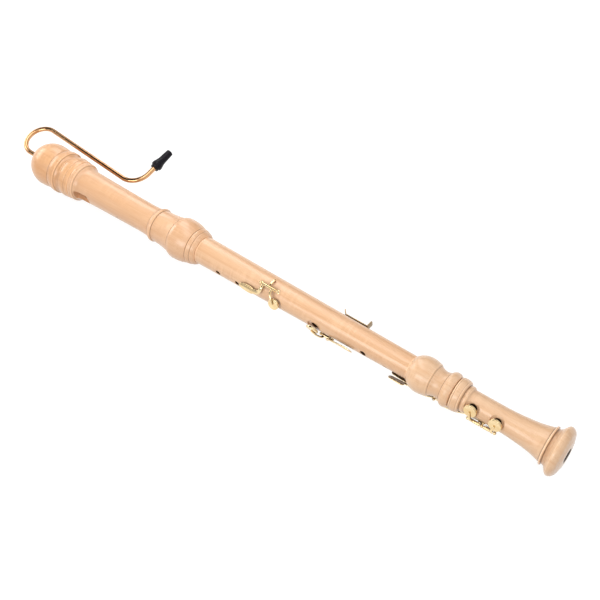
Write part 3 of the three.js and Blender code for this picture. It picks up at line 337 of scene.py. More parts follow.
def radius_under(line, station, reach):
    """The largest of the outline's radii at a station and at a reach to either side of it."""
    return max(radius_at(line, station + aside) for aside in (-reach, 0, reach))


def softened(line, corner, closed, longest=5.0, turn=7.0):
    """The line with its corners rounded: it is sampled evenly by length, each sample becomes the
    Gaussian mean of its neighbours, and the result is thinned so that a step is no longer than
    `longest` and turns by no more than `turn` degrees."""
    line = np.vstack([line, line[:1]]) if closed else line
    length = np.concatenate([[0], np.cumsum(np.hypot(*np.diff(line, axis=0).T))])
    keep = np.concatenate([[True], np.diff(length) > 1e-9])
    line, length = line[keep], length[keep]
    spread = 4
    reach = 3 * spread
    step = corner / spread
    samples = np.linspace(0, length[-1], int(length[-1] / step) + 2)
    even = np.stack([np.interp(samples, length, axis) for axis in line.T], axis=1)
    weights = np.exp(-0.5 * (np.arange(-reach, reach + 1) / spread) ** 2)
    weights /= weights.sum()
    if closed:
        even = even[:-1]
        padded = np.vstack([even[-reach:], even, even[:reach]])
    else:
        before, after = 2 * even[0] - even[reach:0:-1], 2 * even[-1] - even[-2:-reach - 2:-1]
        padded = np.vstack([before, even, after])
    soft = np.stack([np.convolve(axis, weights, mode="valid") for axis in padded.T], axis=1)
    ring = np.vstack([soft, soft[:1]]) if closed else soft
    change = np.diff(ring, axis=0)
    heading = np.unwrap(np.arctan2(change[:, 1], change[:, 0]))
    bend = np.concatenate([[0], np.abs(np.diff(heading)), [0]])
    measure = np.concatenate([[0], np.cumsum(np.hypot(*change.T))]) / longest
    measure += np.cumsum(bend) / math.radians(turn)
    marks = np.linspace(0, measure[-1], int(math.ceil(measure[-1])) + 1)
    thinned = np.stack([np.interp(marks, measure, axis) for axis in ring.T], axis=1)
    return thinned[:-1] if closed else thinned


def scored(line, spans, marks, step=0.15):
    """The outline with turned lines: at each mark (row, end, shift, reach, depth) the radius drops by a
    Gaussian of the distance, and a depth below zero leaves a ridge."""
    stations = np.union1d(line[:, 1], np.arange(line[0, 1], line[-1, 1], step))
    radius = np.interp(stations, line[:, 1], line[:, 0])
    for row, end, shift, reach, depth in marks:
        radius -= depth * np.exp(-(((stations - spans[row][end] - shift) / reach) ** 2))
    return np.stack([radius, stations], axis=1)


def edge_share(line, closed, reach=0.8):
    """How sharply an outline turns near each point, from -1 in a crease to 1 on an edge: the turns of
    the points around, each weighted by a Gaussian of its distance, are added up."""
    full_turn = 1.1
    before = np.roll(line, 1, axis=0) if closed else np.vstack([line[:1], line[:-1]])
    after = np.roll(line, -1, axis=0) if closed else np.vstack([line[1:], line[-1:]])
    into, out = line - before, after - line
    cross = into[:, 0] * out[:, 1] - into[:, 1] * out[:, 0]
    turn = np.arctan2(cross, np.sum(into * out, axis=1))
    apart = np.hypot(*(line[:, None] - line[None]).T)
    return np.clip(np.exp(-((apart / reach) ** 2)) @ turn / full_turn, -1, 1)


# Places round the axis


def spot(station, angle, radius):
    """The point at a station, an angle round the axis and a radius; arrays work too."""
    turn = np.radians(angle)
    station, turn, radius = np.broadcast_arrays(station, turn, radius)
    place = np.stack([-station, -radius * np.sin(turn), radius * np.cos(turn)], axis=-1)
    return place + ORIGIN


def placed(points, station, angle):
    """Points with their own +Z outward and +X toward the bell, set at a station and an angle."""
    c, s = math.cos(math.radians(angle)), math.sin(math.radians(angle))
    x, y, z = np.moveaxis(np.asarray(points, float), -1, 0)
    return np.stack([x - station, y * c - z * s, y * s + z * c], axis=-1) + ORIGIN


def swung(points, centre, degrees):
    """Points turned about the X direction through a centre."""
    c, s = math.cos(math.radians(degrees)), math.sin(math.radians(degrees))
    x, y, z = np.moveaxis(np.asarray(points, float) - centre, -1, 0)
    return np.stack([x, y * c - z * s, y * s + z * c], axis=-1) + centre


# Surfaces


# A direction that no bar along the instrument runs in, from which its section is set out
ASLANT = (0.0, 0.3, 1.0)


def store(mesh, name, value):
    """Keeps a number with each point of a mesh, for its material to read."""
    attribute = mesh.attributes.new(name, "FLOAT", "POINT")
    attribute.data.foreach_set("value", np.asarray(value, np.float32))


def points_of(mesh):
    """The points of a mesh, in millimetres."""
    points = np.empty(len(mesh.vertices) * 3, np.float32)
    mesh.vertices.foreach_get("co", points)
    return points.reshape(-1, 3).astype(float) / MM


def grid_mesh(name, grid, wrap_rows=False, wrap_columns=True, marks=None):
    """A mesh through a grid of points (rows, columns, 3) in millimetres, with a quad between each two
    rows and two columns. Rows that shrink to a point close the ends."""
    rows, columns = grid.shape[:2]
    row = np.arange(rows if wrap_rows else rows - 1)
    column = np.arange(columns if wrap_columns else columns - 1)
    i, j = np.meshgrid(row, column, indexing="ij")
    below, right = (i + 1) % rows, (j + 1) % columns
    corners = [i * columns + j, i * columns + right, below * columns + right, below * columns + j]
    quads = np.stack(corners, axis=-1).reshape(-1, 4)
    mesh = bpy.data.meshes.new(name)
    mesh.from_pydata((grid.reshape(-1, 3) * MM).tolist(), [], quads.tolist())
    for mark in ("edge", "hollow"):
        store(mesh, mark, np.repeat(marks[mark], columns) if marks else np.zeros(rows * columns))
    work = bmesh.new()
    work.from_mesh(mesh)
    bmesh.ops.remove_doubles(work, verts=work.verts, dist=1e-6)
    bmesh.ops.recalc_face_normals(work, faces=work.faces)
    work.to_mesh(mesh)
    work.free()
    piece = bpy.data.objects.new(name, mesh)
    bpy.context.scene.collection.objects.link(piece)
    return piece


def circle(sides):
    """Even angles round a circle, in radians."""
    return np.linspace(0, 2 * math.pi, sides, endpoint=False)


def lathe_grid(line, sides):
    """The outline (radius, station) carried round the axis: x = -station, y and z on the circle."""
    turn = circle(sides)
    radius, station = line[:, 0, None], line[:, 1, None]
    flat = np.broadcast_to(-station, (len(line), sides))
    return np.stack([flat, -radius * np.sin(turn), radius * np.cos(turn)], axis=-1) + ORIGIN


def revolved(name, line, closed=True, sides=WOOD_SIDES, corner=0.15):
    """A turned piece: an outline with softened corners carried round the instrument's axis. Each point
    keeps how sharply the outline turns close by, as an edge, and further around, as a hollow."""
    soft = softened(np.asarray(line, float), corner, closed, turn=9.0)
    marks = dict(edge=edge_share(soft, closed), hollow=edge_share(soft, closed, reach=4.5))
    return grid_mesh(name, lathe_grid(soft, sides), wrap_rows=closed, marks=marks)


def upright_grid(line, sides):
    """An outline (radius, height) carried round its own upright axis: x and y on the circle, z = height."""
    around = circle(sides)
    radius, height = line[:, 0, None], line[:, 1, None]
    upright = np.broadcast_to(height, (len(line), sides))
    return np.stack([radius * np.cos(around), radius * np.sin(around), upright], axis=-1)


def stood(name, line, station, angle, sides, corner):
    """A small turned piece that stands outward, its outline (radius, distance from the instrument's
    axis) with softened corners."""
    soft = softened(np.asarray(line, float), corner, False, turn=10.0)
    return grid_mesh(name, placed(upright_grid(soft, sides), station, angle))


def cylinder(name, radius, low, high, station, angle):
    """A plain round cutter that stands outward, sharp at both ends."""
    line = np.array([(0, low), (radius, low), (radius, high), (0, high)], float)
    return grid_mesh(name, placed(upright_grid(line, SMALL_SIDES), station, angle))


def path_frames(path, up):
    """Unit side and up vectors along a path, with up kept near the given direction: the side is the
    tangent crossed with it, and up is the side crossed with the tangent."""
    tangent = np.gradient(path, axis=0)
    tangent /= np.linalg.norm(tangent, axis=1, keepdims=True)
    side = np.cross(tangent, np.broadcast_to(up, path.shape))
    side /= np.linalg.norm(side, axis=1, keepdims=True)
    return side, np.cross(side, tangent)


def closed_ends(path, rings):
    """The rings round a path, with one more at each end that is drawn in to the path's own end."""
    first, last = (np.broadcast_to(path[i], rings[0].shape)[None] for i in (0, -1))
    return np.concatenate([first, rings, last])


def swept(name, path, section, up, sizes):
    """A section (side, up) carried along a path, scaled by sizes at each point, with closed ends."""
    side, rise = path_frames(path, up)
    x = section[None, :, 0, None] * sizes[:, None, 0, None]
    y = section[None, :, 1, None] * sizes[:, None, 1, None]
    rings = path[:, None] + side[:, None] * x + rise[:, None] * y
    return grid_mesh(name, closed_ends(path, rings))


def round_section(radius, sides):
    """A circle about the path."""
    turn = circle(sides)
    return radius * np.stack([np.cos(turn), np.sin(turn)], axis=1)


def bar_section(width, height, edge):
    """A rectangle with round corners: a quarter of a circle about a centre inside each corner."""
    edge = min(edge, width / 2, height / 2)
    quarter = np.linspace(0, math.pi / 2, 5)
    points = []
    for count, (right, up) in enumerate(((1, 1), (-1, 1), (-1, -1), (1, -1))):
        turn = quarter + count * math.pi / 2
        centre = np.array([right * (width / 2 - edge), up * (height / 2 - edge)])
        points.append(centre + edge * np.stack([np.cos(turn), np.sin(turn)], axis=1))
    return np.vstack(points)


def rounded_ends(path, reach):
    """A path with more points near its ends, and sizes that close the ends as a quarter of an ellipse
    does over the reach."""
    length = np.concatenate([[0], np.cumsum(np.linalg.norm(np.diff(path, axis=0), axis=1))])
    closer = reach * (1 - np.sin(np.linspace(0, math.pi / 2, 7)[1:-1]))
    marks = np.unique(np.concatenate([length, closer, length[-1] - closer]))
    out = np.stack([np.interp(marks, length, axis) for axis in path.T], axis=1)
    near = np.minimum(marks, length[-1] - marks)
    size = np.sqrt(np.clip(1 - (1 - np.clip(near / reach, 0, 1)) ** 2, 0, 1))
    return out, np.maximum(size, 0.02)


def end_sizes(width, height, edge, sizes):
    """Sizes of a section where the ends are rounded by an edge: each side loses up to the edge."""
    return 1 - 2 * edge / np.array([width, height]) * (1 - sizes[:, None])


def smooth_path(points):
    """A centripetal Catmull-Rom line through points, its ends led on by mirrored neighbours."""
    steps = 14
    points = np.asarray(points, float)
    ends = [2 * points[0] - points[1], 2 * points[-1] - points[-2]]
    knots = np.vstack([ends[0], points, ends[1]])
    gaps = np.sqrt(np.linalg.norm(np.diff(knots, axis=0), axis=1))
    t = np.concatenate([[0], np.cumsum(gaps)])
    line = []
    for i in range(1, len(knots) - 2):
        u = np.linspace(t[i], t[i + 1], steps, endpoint=False)[:, None]
        a = [
            knots[k] * (t[k + 1] - u) / (t[k + 1] - t[k]) + knots[k + 1] * (u - t[k]) / (t[k + 1] - t[k])
            for k in (i - 1, i, i + 1)
        ]
        b = [
            a[k] * (t[i + 1 + k] - u) / (t[i + 1 + k] - t[i - 1 + k])
            + a[k + 1] * (u - t[i - 1 + k]) / (t[i + 1 + k] - t[i - 1 + k])
            for k in (0, 1)
        ]
        line.append((b[0] * (t[i + 1] - u) + b[1] * (u - t[i])) / (t[i + 1] - t[i]))
    return np.vstack([*line, points[-1:]])


def rounded_line(points, corner):
    """A line in a plane with its corners rounded, in steps that suit a bent strip."""
    return softened(np.asarray(points, float), corner, False, longest=2.0, turn=6.0)


def blade_outline(length, width, far_share):
    """A long outline with round ends: two arcs and the lines between them. Gives the spine that each
    point grows from and its reach from it."""
    near, far = width / 2, width / 2 * far_share
    turn = np.linspace(-math.pi / 2, math.pi / 2, 25)
    around = np.concatenate([turn, turn + math.pi])
    size = np.repeat([near, far], len(turn))
    spine = np.repeat([length / 2 - near, far - length / 2], len(turn))
    return spine, np.stack([size * np.cos(around), size * np.sin(around)])


def leaf_outline(length, width, far_share):
    """An oval outline that narrows toward its far end: powers of the sine and cosine keep it full."""
    fullness = 0.8
    around = np.linspace(-math.pi, math.pi, 96, endpoint=False)
    x = np.sign(np.cos(around)) * np.abs(np.cos(around)) ** fullness
    y = np.sign(np.sin(around)) * np.abs(np.sin(around)) ** fullness
    share = (1 + far_share) / 2 + (1 - far_share) / 2 * x
    spine = x * (length - width) / 2
    return spine, np.stack([x * width / 2, y * width / 2 * share])


def touch_plate(name, outline, inner, thickness, station, angle, crown=0.35):
    """A long plate that follows the round of the instrument. One parameter runs round its outline;
    the other runs from the middle of its top over the round edge to the middle of its underside."""
    spine, grown = outline
    size = np.hypot(*grown)
    rim = thickness / 2
    roll = np.linspace(0, math.pi, 13)[:, None]
    flat = np.broadcast_to(np.linspace(0, 1, 6)[:-1, None], (5, len(size)))
    share = np.vstack([flat, 1 - rim * (1 - np.sin(roll)) / size, flat[::-1]])
    lift = np.vstack([np.full((5, 1), rim), rim * np.cos(roll), np.full((5, 1), -rim)])
    bulge = np.where(lift > 0, crown * (1 - share**2), 0.0)
    x, y = spine + grown[0] * share, grown[1] * share
    radius = inner + rim + lift + bulge
    grid = np.stack([x, y, np.sqrt(radius**2 - y**2)], axis=-1)
    return grid_mesh(name, placed(grid, station, angle))


def box_piece(name, size, centre, station, angle, edge=0.2):
    """A small block with round edges: a rectangle with round corners carried along x, its corners
    drawn in where the ends are rounded."""
    length, width, height = size
    path = np.array([[-length / 2, 0, 0], [0, 0, 0], [length / 2, 0, 0]]) + np.array(centre)
    path, sizes = rounded_ends(path, edge)
    side, rise = path_frames(path, np.array([0.0, 0.0, 1.0]))
    section = bar_section(width, height, edge)
    inner = np.array([width / 2 - edge, height / 2 - edge])
    limit = np.clip(section, -inner, inner)
    rings = limit[None] + (section - limit)[None] * sizes[:, None, None]
    points = path[:, None] + side[:, None] * rings[..., :1] + rise[:, None] * rings[..., 1:]
    return grid_mesh(name, placed(closed_ends(path, points), station, angle))


def round_bar(name, radius, path, station, angle, up, dome):
    """A round bar along a path that is set at a station and an angle, its ends rounded by a dome."""
    path, sizes = rounded_ends(path, dome)
    shares = end_sizes(2 * radius, 2 * radius, dome, sizes)
    return swept(name, placed(path, station, angle), round_section(radius, SMALL_SIDES), up, shares)


def lying_path(low, high, distance, count):
    """Points of a line parallel to the axis, at a distance from it."""
    return np.stack([-np.linspace(low, high, count), np.zeros(count), np.full(count, distance)], axis=1)


def lying(name, radius, low, high, angle, distance, dome=0.3):
    """A round bar parallel to the axis."""
    return round_bar(name, radius, lying_path(low, high, distance, 9), 0, angle, ASLANT, dome)


def slab(name, outline, half_width, angle):
    """A cutter: an outline (station, distance) given a width, standing at an angle round the axis."""
    station, distance = np.array(outline, float).T
    rings = np.stack([
        np.stack([-station, np.full(len(station), side), distance], axis=-1)
        for side in (-half_width, half_width)
    ])
    return grid_mesh(name, placed(closed_ends(rings.mean(axis=1), rings), 0, angle))


def carved(piece, *others, operation="DIFFERENCE"):
    """The piece with the others cut from it or joined to it, as one applied mesh."""
    for other in others:
        step = piece.modifiers.new("step", "BOOLEAN")
        step.solver = "MANIFOLD"
        step.operation = operation
        step.object = other
    bpy.context.view_layer.update()
    shaped = piece.evaluated_get(bpy.context.evaluated_depsgraph_get())
    mesh = bpy.data.meshes.new_from_object(shaped)
    piece.modifiers.clear()
    before, piece.data = piece.data, mesh
    mesh.name = before.name + "_mesh"
    bpy.data.meshes.remove(before)
    for other in others:
        spent = other.data
        bpy.data.objects.remove(other)
        bpy.data.meshes.remove(spent)
    if not len(mesh.polygons):
        raise RuntimeError(f"{piece.name} came out empty")
    return piece


def measured(piece, line, clear=0.0, wells=()):
    """Gives each point of a wooden joint its depth under the outline, in millimetres, beyond a depth
    that stays clear of painted shade. Inside the wells (station, angle, radius, level) it counts from the
    level."""
    rim = 0.2
    points = points_of(piece.data) - ORIGIN
    outline = np.interp(-points[:, 0], line[:, 1], line[:, 0])
    value = outline - np.hypot(points[:, 1], points[:, 2]) - clear
    for station, angle, radius, level in wells:
        c, s = math.cos(math.radians(angle)), math.sin(math.radians(angle))
        aside = np.hypot(points[:, 0] + station, points[:, 1] * c + points[:, 2] * s)
        height = points[:, 2] * c - points[:, 1] * s
        inside = (aside < radius + rim) & (height > 0)
        value = np.where(inside, np.maximum(value, (level - height) * HOLE_SHADE_RATE), value)
    store(piece.data, "depth", value)
    return piece


def faced(mesh):
    """Stores how far each point faces the instrument's axis, from -1 outward to 1 inward: the negative
    of its normal's share along the way out from the axis."""
    normals = np.empty(len(mesh.vertices) * 3, np.float32)
    mesh.vertex_normals.foreach_get("vector", normals)
    out = points_of(mesh)[:, 1:] - ORIGIN[1:]
    out /= np.maximum(np.hypot(*out.T), 1e-6)[:, None]
    store(mesh, "inward", -np.sum(out * normals.reshape(-1, 3)[:, 1:], axis=1))


def finished(piece, node, finish):
    """Shades a piece, gives it its look and lets it stand for its solid on the same body."""
    mesh = piece.data
    mesh.polygons.foreach_set("use_smooth", np.ones(len(mesh.polygons), bool))
    mesh.set_sharp_from_angle(angle=math.radians(SHARP_TURN))
    faced(mesh)
    mesh.materials.clear()
    mesh.materials.append(look(finish))
    piece.name = node + "_finish"
    body = frame["nodes"][node]["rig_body"]
    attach(piece, body)
    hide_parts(node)


# Turned lines: row, its end (0 low, 2 high), shift toward the head, reach and depth
FOOT_SCORES = (
    ("ring", 0, 0.9, 0.35, 0.3), ("ring", 2, -0.7, 0.35, 0.3), ("small_bead_foot", 0, 0.2, 0.5, 0.5),
    ("small_bead", 0, 1.2, 0.5, 0.4), ("small_bead", 2, -1.4, 0.5, 0.45),
    ("small_bead_head", 2, 0.0, 0.6, 0.6), ("big_bead", 2, -2.6, 0.45, 0.4),
    ("big_bead", 2, 0.0, 0.5, 0.5), ("big_bead", 0, 3.0, 0.45, 0.3), ("step", 0, -0.6, 0.5, 0.55),
    ("step", 2, 0.5, 0.6, -0.25), ("rim_bead", 0, 0.0, 0.35, 0.3), ("rim_bead", 2, 0.3, 0.3, 0.25),
    ("rim_cove", 2, 0.2, 0.35, 0.35), ("rim_under", 0, 0.4, 0.4, 0.45), ("rim_under", 0, 2.6, 0.4, 0.45),
)
HEAD_SCORES = (
    ("mouth", 0, 3.2, 0.4, 0.3), ("mouth", 2, 0.0, 0.4, 0.4), ("groove_in", 2, 0.0, 0.6, 0.5),
    ("step", 2, 0.3, 0.5, 0.6), ("step", 0, -0.5, 0.5, -0.2), ("ring", 0, 0.0, 0.5, 0.5),
    ("ring", 2, 0.0, 0.5, 0.5), ("ring_step", 2, 0.0, 0.4, 0.3), ("flare_step", 0, -0.3, 0.6, 0.7),
    ("flare_step", 2, 0.8, 0.6, -0.3), ("top_ring", 0, 3.0, 0.4, 0.35),
)
CAP_SCORES = (
    ("lower_band", 2, 0.0, 0.4, 0.35), ("band_edge", 2, 0.0, 0.6, 0.6), ("bead_foot", 0, 0.0, 0.6, 0.6),
    ("bead_foot", 2, 0.6, 0.7, -0.35), ("neck", 2, 0.0, 0.5, 0.3), ("neck", 0, 0.6, 0.5, 0.4),
)

# The outlines in place along the axis, with their spans and upper ends
FOOT_LINE = turned(FOOT_ROWS, FOOT["face"])
FOOT_SPANS = row_spans(FOOT_ROWS)
FOOT_END = FOOT_LINE[-1, 1]
MIDDLE_LINE = turned(MIDDLE_ROWS, MIDDLE["face"], FOOT_END)
MIDDLE_END = MIDDLE_LINE[-1, 1]
HEAD_LINE = turned(HEAD_ROWS, HEAD["face"], MIDDLE_END)
HEAD_END = HEAD_LINE[-1, 1]
CAP_LINE = turned(CAP_ROWS, CAP["face"], HEAD_END + GAP)
CAP_END = CAP_LINE[-1, 1]


# Materials


class Nodes:
    """Short hands for the nodes of a material or the world: each call adds one and gives an output."""

    def __init__(self, owner):
        owner.use_nodes = True
        self.owner = owner
        self.tree = owner.node_tree

    def add(self, kind, inputs=None, output=0, **settings):
        """A node of a kind, with its settings and what its inputs take."""
        node = self.tree.nodes.new(kind)
        for key, value in settings.items():
            setattr(node, key, value)
        for key, value in (inputs or {}).items():
            self.plug(value, node.inputs[key])
        return node.outputs[output]

    def plug(self, value, socket):
        """Links an output to a socket, or sets the socket's own value."""
        if isinstance(value, bpy.types.NodeSocket):
            self.tree.links.new(value, socket)
        else:
            socket.default_value = value

    def mark(self, name):
        """A number that is kept with the points of the mesh."""
        return self.add("ShaderNodeAttribute", attribute_name=name, output=2)

    def place(self, scale, shift=(0.0, 0.0, 0.0)):
        """Object coordinates centred on the instrument's axis, shifted and scaled, in metres."""
        coordinates = self.add("ShaderNodeTexCoord", output=3)
        centre = [-(value * MM) + extra for value, extra in zip(ORIGIN, shift)]
        moved = self.add("ShaderNodeMapping", {"Vector": coordinates, "Location": centre})
        return self.add("ShaderNodeVectorMath", {0: moved, 1: scale}, operation="MULTIPLY")

    def noise(self, scale, shift=(0.0, 0.0, 0.0), detail=3.0, roughness=0.5, distortion=0.0):
        """Noise with so many changes a metre along each axis."""
        inputs = {
            "Vector": self.place(scale, shift), "Scale": 1.0, "Detail": detail, "Roughness": roughness,
            "Distortion": distortion,
        }
        return self.add("ShaderNodeTexNoise", inputs)

    def spread(self, value, low, high, to_low=0.0, to_high=1.0, smooth=True):
        """A value's way from low to high, carried over to the way from to_low to to_high."""
        inputs = {"Value": value, "From Min": low, "From Max": high, "To Min": to_low, "To Max": to_high}
        kind = "SMOOTHSTEP" if smooth else "LINEAR"
        return self.add("ShaderNodeMapRange", inputs, interpolation_type=kind)

    def math(self, operation, first, second, clamp=False):
        return self.add("ShaderNodeMath", {0: first, 1: second}, operation=operation, use_clamp=clamp)

    def mix(self, share, first, second):
        """The first colour with a share of the second."""
        return self.add("ShaderNodeMix", {0: share, 6: first, 7: second}, output=2, data_type="RGBA")

    def laid(self, ground, tone, value, low, high, share=1.0):
        """The ground colour, with up to a share of a tone over it as a value goes from low to high."""
        return self.mix(self.spread(value, low, high, 0.0, share), ground, tone)

    def bump(self, height, strength, distance):
        inputs = {"Height": height, "Strength": strength, "Distance": distance}
        return self.add("ShaderNodeBump", inputs)

    def finish(self, colour, roughness, normal=None, **plain):
        """Sets up the material's shader: what is plain stands on its own sockets."""
        shader = self.tree.nodes["Principled BSDF"]
        self.plug(colour, shader.inputs["Base Color"])
        self.plug(roughness, shader.inputs["Roughness"])
        if normal is not None:
            self.plug(normal, shader.inputs["Normal"])
        for key, value in plain.items():
            shader.inputs[key.replace("_", " ")].default_value = value
        return self.owner


def material(name):
    """The nodes of a new material."""
    return Nodes(bpy.data.materials.new(name))


def rgba(colour, share=1.0):
    """A colour at a share of its brightness, as red, green, blue and full cover."""
    return (*[min(1.0, part * share) for part in colour], 1.0)


def maple(name, seed, pale, deep, warm):
    """Maple turned along its grain: long fibres, faint growth bands, cross figure, ray flecks and
    pores, with painted shade in the hollows, in the creases and down the holes, and a painted
    highlight on the edges, which are also rubbed paler."""
    n = material(name)
    shift = (seed * 0.37, seed * 0.11, seed * 0.23)
    fibre = n.noise((22.0, 1300.0, 1300.0), shift, detail=4.0, roughness=0.6)
    broad = n.noise((7.0, 55.0, 55.0), shift, detail=3.0)
    bands = n.noise((3.0, 260.0, 90.0), shift, detail=2.0, distortion=0.6)
    figure = n.noise((150.0, 26.0, 26.0), shift, detail=2.0, distortion=0.8)
    patches = n.noise((11.0, 40.0, 40.0), (seed, 0.3, 0.1), detail=2.0)
    fleck = n.noise((160.0, 2600.0, 900.0), shift, detail=1.0)
    pore = n.noise((420.0, 4200.0, 4200.0), shift, detail=0.0)
    colour = n.laid(rgba(pale), rgba(deep), fibre, 0.3, 0.75, 0.55)
    colour = n.laid(colour, rgba(deep), bands, 0.42, 0.72, 0.5)
    colour = n.laid(colour, rgba(warm), broad, 0.38, 0.7, 0.45)
    flame = n.math("MULTIPLY", n.spread(figure, 0.42, 0.62), n.spread(patches, 0.4, 0.65, 0.0, 0.42))
    colour = n.mix(flame, colour, rgba(pale, 1.12))
    colour = n.laid(colour, rgba(deep, 0.75), fleck, 0.68, 0.8, 0.3)
    edge = n.mark("edge")
    # Painted shade in the broad hollows of the outline
    hollow = n.math("MULTIPLY", n.mark("hollow"), -1.0)
    colour = n.laid(colour, rgba(deep, 0.85), hollow, 0.15, 0.9, 0.6)
    # Painted shade in the creases of the outline
    crease = n.math("MULTIPLY", edge, -1.0)
    colour = n.laid(colour, rgba(deep, 0.4), crease, 0.12, 0.8, 0.8)
    # Painted highlight on the edges, which are also rubbed paler
    colour = n.laid(colour, rgba(pale, 1.22), edge, 0.12, 0.7, 0.75)
    # Painted shade down the holes and the bore, growing with the depth under the outline
    colour = n.laid(colour, rgba(deep, 0.07), n.mark("depth"), 0.6, 2.6, 0.96)
    roughness = n.spread(fibre, 0.2, 0.8, 0.3, 0.44, smooth=False)
    pits = n.math("MULTIPLY", n.spread(pore, 0.7, 0.8), -0.5)
    height = n.math("ADD", n.math("MULTIPLY", fibre, 0.6), pits)
    return n, colour, roughness, n.bump(height, 0.16, 0.0002)


def maple_look(name, seed, tones, knots):
    """Lacquered maple of three tones, pale, deep and warm, and dark toward the middle of each knot: a
    ragged step of how far a point is from the knot, which is drawn out along the grain."""
    n, colour, roughness, normal = maple(name, seed, *tones)
    for height, angle, reach in knots:
        station = MIDDLE_END + height
        centre = spot(station, angle, radius_at(HEAD_LINE, station)) * MM
        reach *= MM
        place = n.add("ShaderNodeTexCoord", output=3)
        apart = n.add("ShaderNodeVectorMath", {0: place, 1: tuple(-centre)}, operation="ADD")
        drawn = n.add("ShaderNodeVectorMath", {0: apart, 1: (0.45, 1.0, 1.0)}, operation="MULTIPLY")
        away = n.add("ShaderNodeVectorMath", {0: drawn}, output=1, operation="LENGTH")
        torn = n.math("MULTIPLY", n.noise((600.0, 1400.0, 1400.0)), reach * 0.8)
        dark = n.spread(n.math("ADD", away, torn), reach * 0.7, reach * 1.9, 0.85, 0.0)
        colour = n.mix(dark, colour, rgba(tones[1], 0.22))
    return n.finish(colour, roughness, normal, Coat_Weight=0.5, Coat_Roughness=0.2, Specular_IOR_Level=0.42)


def cedar_look(finish):
    """Bare cedar: strong straight growth lines and open grain."""
    n = material("bare_cedar")
    lines = n.noise((5.0, 900.0, 120.0), detail=3.0)
    fibre = n.noise((30.0, 1600.0, 1600.0), detail=3.0)
    colour = n.laid(rgba(finish.cedar), rgba(finish.cedar_deep), lines, 0.4, 0.65)
    colour = n.laid(colour, rgba(finish.cedar_pale), fibre, 0.3, 0.8, 0.4)
    return n.finish(colour, n.spread(fibre, 0.2, 0.8, 0.55, 0.75), n.bump(fibre, 0.3, 0.0003))


# Painted shade and a painted reflection of the shadowed wood, for the metal's faces toward the wood
UNDERSIDE_SHADE = (0.1, 0.04, 0.013)


def metal_look(name, colour, deep, roughness, seed, underside_shade):
    """Lacquered metal: a cloudy shift of tone, hairline polishing marks and fine scratches, and painted
    shade with a painted reflection of the shadowed wood on what faces the wood."""
    n = material(name)
    shift = (seed * 0.31, seed * 0.17, 0.0)
    cloud = n.noise((60.0, 90.0, 90.0), shift, detail=3.0)
    hair = n.noise((2500.0, 140.0, 2500.0), shift, detail=2.0)
    scratch = n.noise((900.0, 5200.0, 700.0), shift, detail=1.0, distortion=0.4)
    spots = n.noise((800.0, 800.0, 800.0), shift, detail=1.0)
    tone = n.laid(rgba(colour), rgba(deep), cloud, 0.35, 0.7, 0.7)
    tone = n.laid(tone, rgba(deep, 0.6), spots, 0.7, 0.8, 0.4)
    # Painted shade on what faces the wood
    tone = n.laid(tone, rgba(UNDERSIDE_SHADE), n.mark("inward"), 0.25, 0.75, underside_shade)
    polish = n.spread(hair, 0.3, 0.75, roughness * 0.8, roughness * 1.5)
    rough = n.math("ADD", polish, n.spread(scratch, 0.66, 0.74, 0.0, 0.16))
    height = n.math("ADD", n.math("MULTIPLY", hair, 0.3), n.spread(scratch, 0.66, 0.74, 0.0, -0.5))
    normal = n.bump(height, 0.03, 0.00003)
    return n.finish(tone, rough, normal, Metallic=1.0, Coat_Weight=0.2, Coat_Roughness=0.1)


def plastic_look(finish):
    """Black moulded plastic: satin, with faint tooth marks and dust in its grain."""
    n = material("satin_black")
    scuff = n.noise((500.0, 500.0, 500.0), detail=4.0)
    marks = n.noise((1400.0, 300.0, 1400.0), detail=2.0)
    grain = n.noise((5000.0, 5000.0, 5000.0), detail=1.0)
    colour = n.laid(rgba(finish.plastic), rgba(finish.plastic_scuffed), scuff, 0.45, 0.75)
    roughness = n.math("ADD", n.spread(scuff, 0.3, 0.7, 0.24, 0.36), n.spread(marks, 0.6, 0.7, 0.0, 0.18))
    height = n.math("ADD", n.math("MULTIPLY", grain, 0.4), n.spread(marks, 0.6, 0.7, 0.0, -0.3))
    return n.finish(colour, roughness, n.bump(height, 0.1, 0.0001), Specular_IOR_Level=0.14)


def cork_look(finish):
    """Sheet cork: pale granules with dark pits between them."""
    n = material("greased_cork")
    cells = n.add("ShaderNodeTexVoronoi", {"Vector": n.place((900.0, 900.0, 900.0)), "Scale": 1.0})
    pits = n.noise((700.0, 1600.0, 1600.0), detail=3.0)
    colour = n.laid(rgba(finish.cork), rgba(finish.cork_deep), cells, 0.1, 0.7)
    colour = n.laid(colour, rgba(finish.cork_pits), pits, 0.6, 0.72, 0.8)
    height = n.math("SUBTRACT", n.spread(cells, 0.0, 0.6), n.spread(pits, 0.6, 0.72))
    return n.finish(colour, n.spread(cells, 0.0, 0.8, 0.7, 0.88), n.bump(height, 0.5, 0.0003))


def pad_look(finish):
    """Pale skin stretched over a felt pad: fine creases and a soft sheen."""
    n = material("pad_skin")
    crease = n.noise((900.0, 900.0, 900.0), detail=5.0, roughness=0.7)
    stain = n.noise((120.0, 120.0, 120.0), detail=2.0)
    colour = n.laid(rgba(finish.pad), rgba(finish.pad_stained), stain, 0.4, 0.7)
    colour = n.laid(colour, rgba(finish.pad_creased), crease, 0.6, 0.75, 0.5)
    return n.finish(colour, n.spread(crease, 0.3, 0.7, 0.55, 0.75), n.bump(crease, 0.35, 0.0002))


def felt_look(finish):
    """Dense dark red felt with loose fibres."""
    n = material("red_felt")
    fluff = n.noise((3500.0, 3500.0, 3500.0), detail=4.0, roughness=0.75)
    worn = n.noise((400.0, 400.0, 400.0), detail=2.0)
    colour = n.laid(rgba(finish.felt), rgba(finish.felt_pale), fluff, 0.35, 0.7)
    colour = n.laid(colour, rgba(finish.felt_worn), worn, 0.55, 0.75, 0.5)
    roughness = n.spread(fluff, 0.3, 0.7, 0.85, 1.0)
    return n.finish(colour, roughness, n.bump(fluff, 0.6, 0.0003), Sheen_Weight=0.3)


